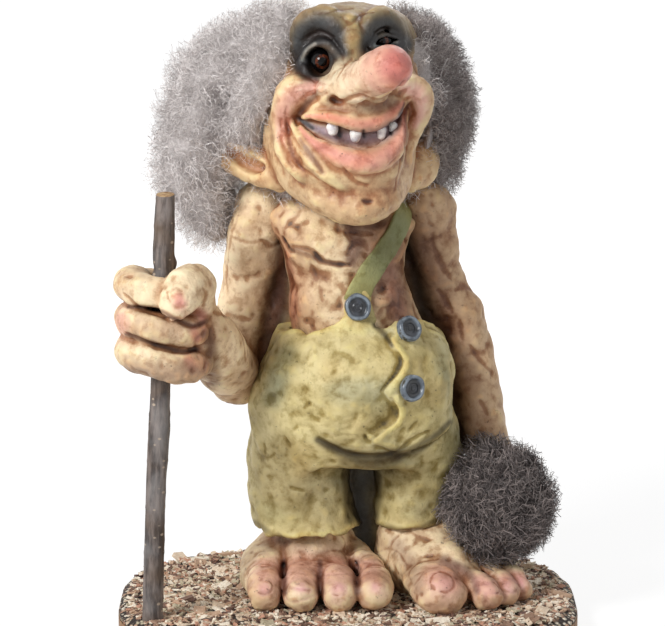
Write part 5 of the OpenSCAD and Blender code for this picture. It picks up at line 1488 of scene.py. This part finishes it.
class Nodes:
    # a geometry node tree with named inputs, for what repeats
    def __init__(self, name, inputs):
        self.tree = bpy.data.node_groups.new(name, "GeometryNodeTree")
        face = self.tree.interface
        face.new_socket("Geometry", in_out="INPUT", socket_type="NodeSocketGeometry")
        face.new_socket("Geometry", in_out="OUTPUT", socket_type="NodeSocketGeometry")
        self.sockets, self.values = {}, inputs
        for label, value in inputs.items():
            kind = "NodeSocketMaterial" if isinstance(value, bpy.types.Material) else "NodeSocketFloat"
            self.sockets[label] = face.new_socket(label, in_out="INPUT", socket_type=kind).identifier
        self.start = self.tree.nodes.new("NodeGroupInput")
        self.end = self.tree.nodes.new("NodeGroupOutput")

    def given(self, label):
        return self.start.outputs[label]

    def add(self, kind, props=None, **inputs):
        return add(self.tree, kind, props, **inputs)

    def between(self, low, high, seed, kind="FLOAT"):
        node = self.tree.nodes.new("FunctionNodeRandomValue")
        node.data_type = kind
        lowSocket, highSocket = (node.inputs[0], node.inputs[1]) if kind == "FLOAT_VECTOR" else (node.inputs[2],
                                                                                                 node.inputs[3])
        for socket, value in ((lowSocket, low), (highSocket, high)):
            if isinstance(value, bpy.types.NodeSocket):
                self.tree.links.new(value, socket)
            else:
                socket.default_value = value
        node.inputs["Seed"].default_value = seed
        return node.outputs[0] if kind == "FLOAT_VECTOR" else node.outputs[1]

    def vector(self, how, a, **inputs):
        return self.add("ShaderNodeVectorMath", {"operation": how}, i0=a, **inputs).outputs[0]

    def unevenness(self, scale, detail):
        # a noise of the place, about -.5 to .5 on each axis
        where = self.add("GeometryNodeInputPosition").outputs[0]
        flow = self.add("ShaderNodeTexNoise", {"noise_dimensions": "3D"}, Vector=where, Scale=scale, Detail=detail)
        return self.vector("SUBTRACT", flow.outputs["Color"], i1=(0.5, 0.5, 0.5))

    def turned(self, way, seed):
        # upright along a direction and spun about it at random
        upright = self.add("FunctionNodeAlignRotationToVector", {"axis": "Z"}, Vector=way).outputs[0]
        around = self.between((0, 0, 0), (0, 0, 6.283), seed, "FLOAT_VECTOR")
        spin = self.add("FunctionNodeEulerToRotation", i0=around).outputs[0]
        return self.add("FunctionNodeRotateRotation", {"rotation_space": "LOCAL"}, i0=upright, i1=spin).outputs[0]

    def scatter(self, density, seed):
        return self.add("GeometryNodeDistributePointsOnFaces", Mesh=self.start.outputs["Geometry"],
                        Density=self.given(density), Seed=seed)

    def toned(self, geometry, seed):
        # a random tone for each instance, which the material reads
        return self.add("GeometryNodeStoreNamedAttribute", {"data_type": "FLOAT", "domain": "INSTANCE"},
                        Geometry=geometry, Name="tone", Value=self.between(0.0, 1.0, seed)).outputs[0]

    def finish(self, geometry, material):
        real = self.add("GeometryNodeRealizeInstances", i0=geometry).outputs[0]
        coloured = self.add("GeometryNodeSetMaterial", Geometry=real, Material=material)
        self.tree.links.new(coloured.outputs[0], self.end.inputs[0])

    def grow(self, piece):
        # runs the tree on a piece and returns the result as a plain mesh
        modifier = piece.modifiers.new("grow", "NODES")
        modifier.node_group = self.tree
        for label, value in self.values.items():
            modifier[self.sockets[label]] = value
        bpy.context.view_layer.update()
        ready = piece.evaluated_get(bpy.context.evaluated_depsgraph_get())
        mesh = bpy.data.meshes.new_from_object(ready)
        piece.modifiers.remove(modifier)
        return mesh


def woolNodes(name, material, length, density, thick, curl, seed):
    # curled fibres that stand on a surface: length and thickness in metres, density per square metre
    n = Nodes(name, {"Fibre length": length, "Fibres per square metre": density, "Fibre thickness": thick,
                     "Curl": curl, "Lean": 5.0, "Wool": material})
    curled = n.add("GeometryNodeCurveSpiral", Resolution=5, Rotations=1.2, Start_Radius=0.0,
                   End_Radius=n.given("Curl"), Height=n.given("Fibre length"))
    share = n.add("GeometryNodeSplineParameter").outputs["Factor"]
    taper = n.add("ShaderNodeMapRange", Value=share, From_Min=0.0, From_Max=1.0, To_Min=1.0, To_Max=0.2).outputs[0]
    sized = n.add("GeometryNodeSetCurveRadius", Curve=curled.outputs[0], Radius=taper)
    edge = n.add("ShaderNodeCombineXYZ", X=n.given("Fibre thickness")).outputs[0]
    profile = n.add("GeometryNodeCurvePrimitiveLine", End=edge)
    strand = n.add("GeometryNodeCurveToMesh", Curve=sized.outputs[0], Profile_Curve=profile.outputs[0])
    scatter = n.scatter("Fibres per square metre", seed)
    leaned = n.vector("SCALE", n.unevenness(70.0, 3.0), Scale=n.given("Lean"))
    jitter = n.between((-.5, -.5, -.5), (.5, .5, .5), seed + 1, "FLOAT_VECTOR")
    way = n.vector("ADD", scatter.outputs["Normal"], i1=n.vector("ADD", leaned, i1=jitter))
    laid = n.add("GeometryNodeInstanceOnPoints", Points=scatter.outputs["Points"], Instance=strand.outputs[0],
                 Rotation=n.turned(way, seed + 2), Scale=n.between(0.45, 1.15, seed + 3))
    n.finish(n.toned(laid.outputs[0], seed + 4), n.given("Wool"))
    return n


def woolMaterial(name, dark, light):
    material, tree = startMaterial(name)
    coords = add(tree, "ShaderNodeTexCoord").outputs["Object"]
    tone = add(tree, "ShaderNodeAttribute", {"attribute_name": "tone"}).outputs["Fac"]
    clump = speckle(tree, coords, 70, 4)
    mixed = maths(tree, "ADD", maths(tree, "MULTIPLY", tone, 0.55), maths(tree, "MULTIPLY", clump, 0.7))
    colour = blendColour(tree, ranged(tree, mixed, .28, .95), dark, light)
    shader = add(tree, "ShaderNodeBsdfPrincipled", Base_Color=colour, Roughness=0.75)
    shader.inputs["Sheen Weight"].default_value = 0.25
    endMaterial(tree, shader)
    return material


def feltMaterial(name, dark, light):
    # the matted wool under the loose fibres
    material, tree = startMaterial(name)
    coords = add(tree, "ShaderNodeTexCoord").outputs["Object"]
    clump = speckle(tree, coords, 90, 5)
    fibre = add(tree, "ShaderNodeTexNoise", Vector=coords, Scale=900.0, Detail=6.0, Roughness=0.75,
                Distortion=1.5).outputs[0]
    mixed = maths(tree, "ADD", maths(tree, "MULTIPLY", fibre, 0.6), maths(tree, "MULTIPLY", clump, 0.5))
    colour = blendColour(tree, ranged(tree, mixed, .35, .72), dark, light)
    bump = add(tree, "ShaderNodeBump", Strength=0.9, Distance=0.0012, Height=fibre).outputs[0]
    endMaterial(tree, add(tree, "ShaderNodeBsdfPrincipled", Base_Color=colour, Roughness=0.9, Normal=bump))
    return material


# box in mm; length, thickness and curl of a strand in metres; locks: x, y, z and radius
wig = {
    "voxel": 1.5, "box": (87, 94, 105), "length": 0.0085, "thick": 0.00018, "curl": 0.0021, "seed": 5,
    "locks": [
        (-31, -24, 290, 9), (-37, -24, 278, 11.5), (-41, -23, 265, 11.5), (-46, -20, 251, 11), (-50, -14, 238, 10),
    ],
    "strands": {"wigRightLobe": 14700, "wigLeftLobe": 11400, "wigCap": 12600},
}
# middle x and y, height, half width and half depth, as shares of the wig's box
lobes = {
    "wigRightLobe": [
        [-.76, .16, -.17, .10, .14], [-.80, .16, -.04, .19, .22], [-.84, .15, .13, .23, .29],
        [-.85, .13, .32, .24, .33], [-.81, .11, .51, .24, .34], [-.72, .10, .69, .25, .34],
        [-.57, .09, .82, .25, .30], [-.42, .09, .91, .17, .19],
    ],
    "wigLeftLobe": [
        [.53, .17, .10, .09, .15], [.55, .18, .27, .13, .24], [.54, .15, .49, .15, .30], [.48, .13, .67, .18, .31],
        [.38, .10, .82, .18, .28], [.27, .09, .90, .13, .17],
    ],
    "wigCap": [
        [-.06, .24, -.02, .44, .27], [-.06, .15, .20, .56, .45], [-.04, .11, .44, .59, .52],
        [0, .06, .65, .53, .53], [0, .03, .81, .43, .46], [.01, 0, .90, .30, .32],
    ],
}


def makeWig():
    felt = feltMaterial("matted wool", rgba(150, 142, 140), rgba(226, 218, 216))
    shadeFelt = feltMaterial("matted wool in the shade", rgba(104, 95, 93), rgba(176, 166, 163))
    loose = woolMaterial("loose wool", rgba(176, 168, 166), rgba(252, 246, 244))
    shadeLoose = woolMaterial("loose wool in the shade", rgba(112, 103, 100), rgba(198, 188, 185))
    w, d, h = wig["box"]
    for count, (name, shares) in enumerate(lobes.items()):
        form = [[s[0] * w, s[1] * d, figure["chin"] + s[2] * h, s[3] * w - 3.5, s[4] * d - 3.5] for s in shares]
        low = np.array([min(f[0] - f[3] for f in form), min(f[1] - f[4] for f in form) - 16, form[0][2] - 8]) - 9
        high = np.array([max(f[0] + f[3] for f in form) + 8, max(f[1] + f[4] for f in form), form[-1][2] + 8]) + 9
        clay = Clay(low, high, wig["voxel"])
        clay.loft(form, cap=9)
        if name == "wigRightLobe":
            for *spot, r in wig["locks"]:
                clay.ball(spot, r, 6)
        lumps = 2.6 * clay.noise(16, 101 + count) + 1.6 * clay.noise(7, 111 + count)
        clay.field += lumps + .9 * clay.noise(3.6, 121 + count)
        inner = clay.like()
        inner.loft(skullForm(), grow=-2)
        clay.field = np.maximum(clay.field, -inner.field)
        below, above = (shadeFelt, shadeLoose) if name == "wigLeftLobe" else (felt, loose)
        carried = ["hair"] if name == "wigCap" else []
        base = cast(name + "Felt", clay, lambda p: np.full((len(p), 3), .3), below, "wool", *carried)
        area = sum(p.area for p in base.data.polygons)
        tree = woolNodes(name + " fibres", above, wig["length"], float(wig["strands"][name] / area), wig["thick"],
                         wig["curl"], wig["seed"] + 10 * count)
        mesh = tree.grow(base)
        mesh.name = name + "Fibres"
        print(name, "fibres", len(mesh.polygons))
        place(name + "Fibres", mesh, above, "wool")


# middle and half sizes in mm; length, thickness and curl of a strand in metres
tuft = {
    "voxel": 1.5, "middle": (74, -10, 48), "half": (21, 19.5, 24.5), "length": 0.0105, "thick": 0.00028,
    "curl": 0.0032, "strands": 13600, "seed": 61,
}


def makeTuft():
    felt = feltMaterial("matted tail wool", rgba(38, 33, 33), rgba(98, 88, 86))
    loose = woolMaterial("loose tail wool", rgba(60, 52, 52), rgba(146, 134, 130))
    m, h = np.array(tuft["middle"], float), np.array(tuft["half"], float)
    clay = Clay(m - h - 9, m + h + 9, tuft["voxel"])
    clay.ball(m, h, 3)
    clay.field += 2.4 * clay.noise(13, 131) + 1.6 * clay.noise(6, 132) + .9 * clay.noise(3.4, 133)
    clay.field = np.maximum(clay.field, 2 - clay.cells()[2])
    base = cast("tailTuftFelt", clay, lambda p: np.full((len(p), 3), .2), felt, "tuft", "tail_tuft")
    area = sum(p.area for p in base.data.polygons)
    tree = woolNodes("tuft fibres", loose, tuft["length"], float(tuft["strands"] / area), tuft["thick"],
                     tuft["curl"], tuft["seed"])
    mesh = tree.grow(base)
    print("tuft fibres", len(mesh.polygons))
    place("tailTuftFibres", mesh, loose, "tuft")


# stops: the colours of the bark, from a random number between 0 and 1
ground = {
    "wide": 230, "deep": 156, "low": -3.98, "rings": 46, "turns": 220, "chips": 5200, "flakes": 120,
    "stops": [
        (0.0, (120, 92, 78)), (.10, (200, 168, 142)), (.28, (232, 212, 188)), (.44, (160, 130, 110)),
        (.52, (200, 152, 128)), (.62, (198, 188, 162)), (.72, (248, 238, 220)), (.94, (110, 84, 76)),
    ],
}


def outlinePoint(a, inset=0.0):
    # the board's outline: nearly square in front, rounder behind
    e = 2 / 4.5 if math.sin(a) < 0 else 2 / 2.6
    across, back = (math.copysign(abs(v) ** e, v) for v in (math.cos(a), math.sin(a)))
    return (ground["wide"] / 2 - inset) * across, (ground["deep"] / 2 - inset) * back


def makeGround():
    # the glued bark layer: a rough top that thins towards an uneven edge
    rings, turns = ground["rings"], ground["turns"]
    xy = []
    for i in range(rings + 1):
        share = (i / rings) ** .8
        for k in range(turns):
            x, y = outlinePoint(2 * math.pi * k / turns, .4)
            xy.append((x * share, y * share, share))
    xy = np.array(xy)
    grid = np.column_stack([xy[:, :2], np.zeros(len(xy))])
    height = .9 * speckled(grid, 17, 1) + .7 * speckled(grid, 5, 2) + .5 * speckled(grid, 2.4, 3) - .2
    height = height - 2.4 * np.clip((xy[:, 2] - .93) / .07, 0, 1) ** 2
    top = np.column_stack([xy[:, :2], np.clip(height, -3.6, 1.6)])
    rim, first = rings * turns, len(top)
    low = top[rim:].copy()
    low[:, 2] = ground["low"]
    points, faces = np.vstack([top, low, [[0, 0, ground["low"]]]]), ringFaces(rings + 1, turns)
    for k in range(turns):
        a, b, c, d = rim + k, rim + (k + 1) % turns, first + (k + 1) % turns, first + k
        faces += [(a, c, d), (a, b, c), (d, c, first + turns)]
    bark, tree = startMaterial("crumbled bark")
    coords = add(tree, "ShaderNodeTexCoord").outputs["Object"]
    cells = add(tree, "ShaderNodeTexVoronoi", {"feature": "F1"}, Vector=coords, Scale=430.0)
    tone = add(tree, "ShaderNodeSeparateColor", Color=cells.outputs["Color"]).outputs[0]
    colour = barkColour(tree, tone, coords)
    colour = blendColour(tree, ranged(tree, cells.outputs["Distance"], .35, .62), colour, rgba(34, 24, 18))
    bump = add(tree, "ShaderNodeBump", {"invert": True}, Strength=1.0, Distance=0.0015,
               Height=cells.outputs["Distance"]).outputs[0]
    endMaterial(tree, add(tree, "ShaderNodeBsdfPrincipled", Base_Color=colour, Roughness=0.85, Normal=bump))
    mesh = newMesh("groundBark", points, outward(points, np.array(faces)))
    place("groundBark", mesh, bark, "ground", "ground_cover")


def barkColour(tree, tone, coords):
    ramp = add(tree, "ShaderNodeValToRGB", Fac=tone)
    stops = ground["stops"]
    line = ramp.color_ramp
    line.interpolation = "CONSTANT"
    while len(line.elements) < len(stops):
        line.elements.new(.5)
    for element, (at, c) in zip(line.elements, stops):
        element.position, element.color = at, rgba(*c)
    grain = speckle(tree, coords, 620, 5, .7)
    return blendColour(tree, ranged(tree, grain, .35, .75, 0, .6), ramp.outputs[0], rgba(186, 168, 150), "MULTIPLY")


def chipNodes(name, material, count, size, seed, tilt):
    # bark chips strewn on a surface: chips for a square metre, their length in metres
    n = Nodes(name, {"Chips": count, "Chip length": size, "Tilt": tilt, "Bark": material})
    chip = n.add("GeometryNodeMeshCube", Vertices_X=3, Vertices_Y=3, Vertices_Z=2)
    chip.inputs["Size"].default_value = (1.0, 0.5, 0.16)
    scatter = n.scatter("Chips", seed)
    leaned = n.vector("SCALE", n.between((-1, -1, 0), (1, 1, 0), seed + 1, "FLOAT_VECTOR"), Scale=n.given("Tilt"))
    way = n.vector("ADD", (0, 0, 1), i1=leaned)
    shape = n.between((.45, .5, .5), (1.25, 1.3, 1.5), seed + 3, "FLOAT_VECTOR")
    laid = n.add("GeometryNodeInstanceOnPoints", Points=scatter.outputs["Points"], Instance=chip.outputs[0],
                 Rotation=n.turned(way, seed + 2), Scale=n.vector("SCALE", shape, Scale=n.given("Chip length")))
    real = n.add("GeometryNodeRealizeInstances", i0=n.toned(laid.outputs[0], seed + 4)).outputs[0]
    moved = n.vector("SCALE", n.unevenness(420.0, 1.0), Scale=0.0026)
    bent = n.add("GeometryNodeSetPosition", Geometry=real, Offset=moved)
    n.finish(bent.outputs[0], n.given("Bark"))
    return n


def makeChips():
    material, tree = startMaterial("bark chip")
    coords = add(tree, "ShaderNodeTexCoord").outputs["Object"]
    tone = add(tree, "ShaderNodeAttribute", {"attribute_name": "tone"}).outputs["Fac"]
    colour = barkColour(tree, tone, coords)
    fibre = speckle(tree, coords, 900, 4, .7)
    bump = add(tree, "ShaderNodeBump", Strength=.7, Distance=0.0004, Height=fibre).outputs[0]
    endMaterial(tree, add(tree, "ShaderNodeBsdfPrincipled", Base_Color=colour, Roughness=0.8, Normal=bump))
    topOnly = bpy.data.meshes.new("chip bed")
    bed = bpy.data.objects.new("chip bed", topOnly)
    bpy.context.scene.collection.objects.link(bed)
    turns, inset, level = 90, 5.0, (groundLevel + .4) / 1000
    around = [outlinePoint(2 * math.pi * k / turns, inset) for k in range(turns)]
    corners = [(0, 0, level)] + [(x / 1000, y / 1000, level) for x, y in around]
    topOnly.from_pydata(corners, [], [(0, 1 + k, 1 + (k + 1) % turns) for k in range(turns)])
    area = sum(p.area for p in topOnly.polygons)
    small = chipNodes("small chips", material, float(ground["chips"] / area), 0.0042, 71, .5).grow(bed)
    large = chipNodes("bark flakes", material, float(ground["flakes"] / area), 0.0098, 81, .35).grow(bed)
    bpy.data.objects.remove(bed)
    place("barkCrumbs", small, material, "bark")
    place("barkFlakes", large, material, "bark", "bark_chips")
    print("bark", len(small.polygons), len(large.polygons))


def finishKept():
    wood, tree = startMaterial("board wood")
    coords = add(tree, "ShaderNodeTexCoord").outputs["Object"]
    long = add(tree, "ShaderNodeMapping", Vector=coords, Scale=(9.0, 150.0, 150.0)).outputs[0]
    grain = add(tree, "ShaderNodeTexNoise", Vector=long, Scale=1.0, Detail=6.0, Roughness=.6,
                Distortion=.6).outputs[0]
    colour = blendColour(tree, ranged(tree, grain, .35, .68), rgba(104, 74, 48), rgba(160, 122, 82))
    bump = add(tree, "ShaderNodeBump", Strength=.5, Distance=.0005, Height=grain).outputs[0]
    endMaterial(tree, add(tree, "ShaderNodeBsdfPrincipled", Base_Color=colour, Roughness=.65, Normal=bump))
    steel, tree = startMaterial("zinc steel")
    coords = add(tree, "ShaderNodeTexCoord").outputs["Object"]
    worn = speckle(tree, coords, 800, 4)
    colour = blendColour(tree, ranged(tree, worn, .35, .7), rgba(196, 196, 192), rgba(140, 138, 132))
    shader = add(tree, "ShaderNodeBsdfPrincipled", Base_Color=colour, Metallic=1.0,
                 Roughness=ranged(tree, worn, .3, .7, .28, .5))
    endMaterial(tree, shader)
    for node, material in (("base_board", wood), ("foot_screws", steel), ("tail_wire", steel)):
        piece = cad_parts[node]
        piece.data.materials.clear()
        piece.data.materials.append(material)


# lamps: power, place in metres and size
stage = {
    "world": 0.27,
    "lamps": {"key": (23.0, (-1.0, -1.0, 1.0), .5), "fill": (2.5, (1.1, -.9, .6), .9),
              "rim": (6.0, (.5, 1.1, 1.2), .7)},
}


def seenDirectly(tree):
    # 1 for what the camera sees, also in a reflection or through glass, and 0 for light
    ray = add(tree, "ShaderNodeLightPath").outputs
    return maths(tree, "MAXIMUM", ray["Is Camera Ray"],
                 maths(tree, "MAXIMUM", ray["Is Glossy Ray"], ray["Is Transmission Ray"]))


def makeStage():
    white, tree = startMaterial("white floor")
    seen = seenDirectly(tree)
    matt = add(tree, "ShaderNodeBsdfDiffuse", Color=(.8, .8, .8, 1))
    seenMatt = add(tree, "ShaderNodeBsdfDiffuse", Color=(.25, .25, .25, 1))
    coords = add(tree, "ShaderNodeTexCoord").outputs["Object"]
    far = add(tree, "ShaderNodeVectorMath", {"operation": "LENGTH"}, i0=coords).outputs["Value"]
    glow = add(tree, "ShaderNodeEmission", Color=(1, 1, 1, 1), Strength=ranged(tree, far, .3, .9, .84, 1.02))
    seenSum = add(tree, "ShaderNodeAddShader", i0=seenMatt.outputs[0], i1=glow.outputs[0])
    endMaterial(tree, add(tree, "ShaderNodeMixShader", i0=seen, i1=matt.outputs[0], i2=seenSum.outputs[0]))
    mesh = bpy.data.meshes.new("floor")
    mesh.from_pydata([(-6, -6, 0), (6, -6, 0), (6, 6, 0), (-6, 6, 0)], [], [(0, 1, 2, 3)])
    floor = bpy.data.objects.new("floor", mesh)
    bpy.context.scene.collection.objects.link(floor)
    mesh.materials.append(white)
    world = bpy.data.worlds.new("studio")
    world.use_nodes = True
    bpy.context.scene.world = world
    tree = world.node_tree
    tree.nodes.clear()
    seen = seenDirectly(tree)
    room = add(tree, "ShaderNodeBackground", Color=(1, 1, 1, 1), Strength=stage["world"])
    back = add(tree, "ShaderNodeBackground", Color=(1, 1, 1, 1), Strength=1.0)
    both = add(tree, "ShaderNodeMixShader", i0=seen, i1=room.outputs[0], i2=back.outputs[0])
    add(tree, "ShaderNodeOutputWorld", Surface=both.outputs[0])
    for name, (power, spot, size) in stage["lamps"].items():
        data = bpy.data.lights.new(name, "AREA")
        data.energy, data.size = power, size
        lamp = bpy.data.objects.new(name, data)
        bpy.context.scene.collection.objects.link(lamp)
        lamp.location = spot
        lamp.rotation_euler = (Vector((0, 0, .15)) - Vector(spot)).to_track_quat("-Z", "Y").to_euler()


finishKept()
makeGround()
makeChips()
print("board, ground and bark ready")
makeRightFoot()
makeLeftFoot()
print("feet cast")
makeTrousers()
makeTorso()
print("body cast")
makeRightArm()
makeLeftArm()
makeTail()
print("arms and tail cast")
makeHead()
makeEyes()
makeTeeth()
print("head cast")
makeButtons()
makeStrap()
makeStaff()
print("strap, buttons and staff made")
makeWig()
makeTuft()
print("wool grown")
makeStage()
bpy.context.scene.view_settings.view_transform = "Standard"
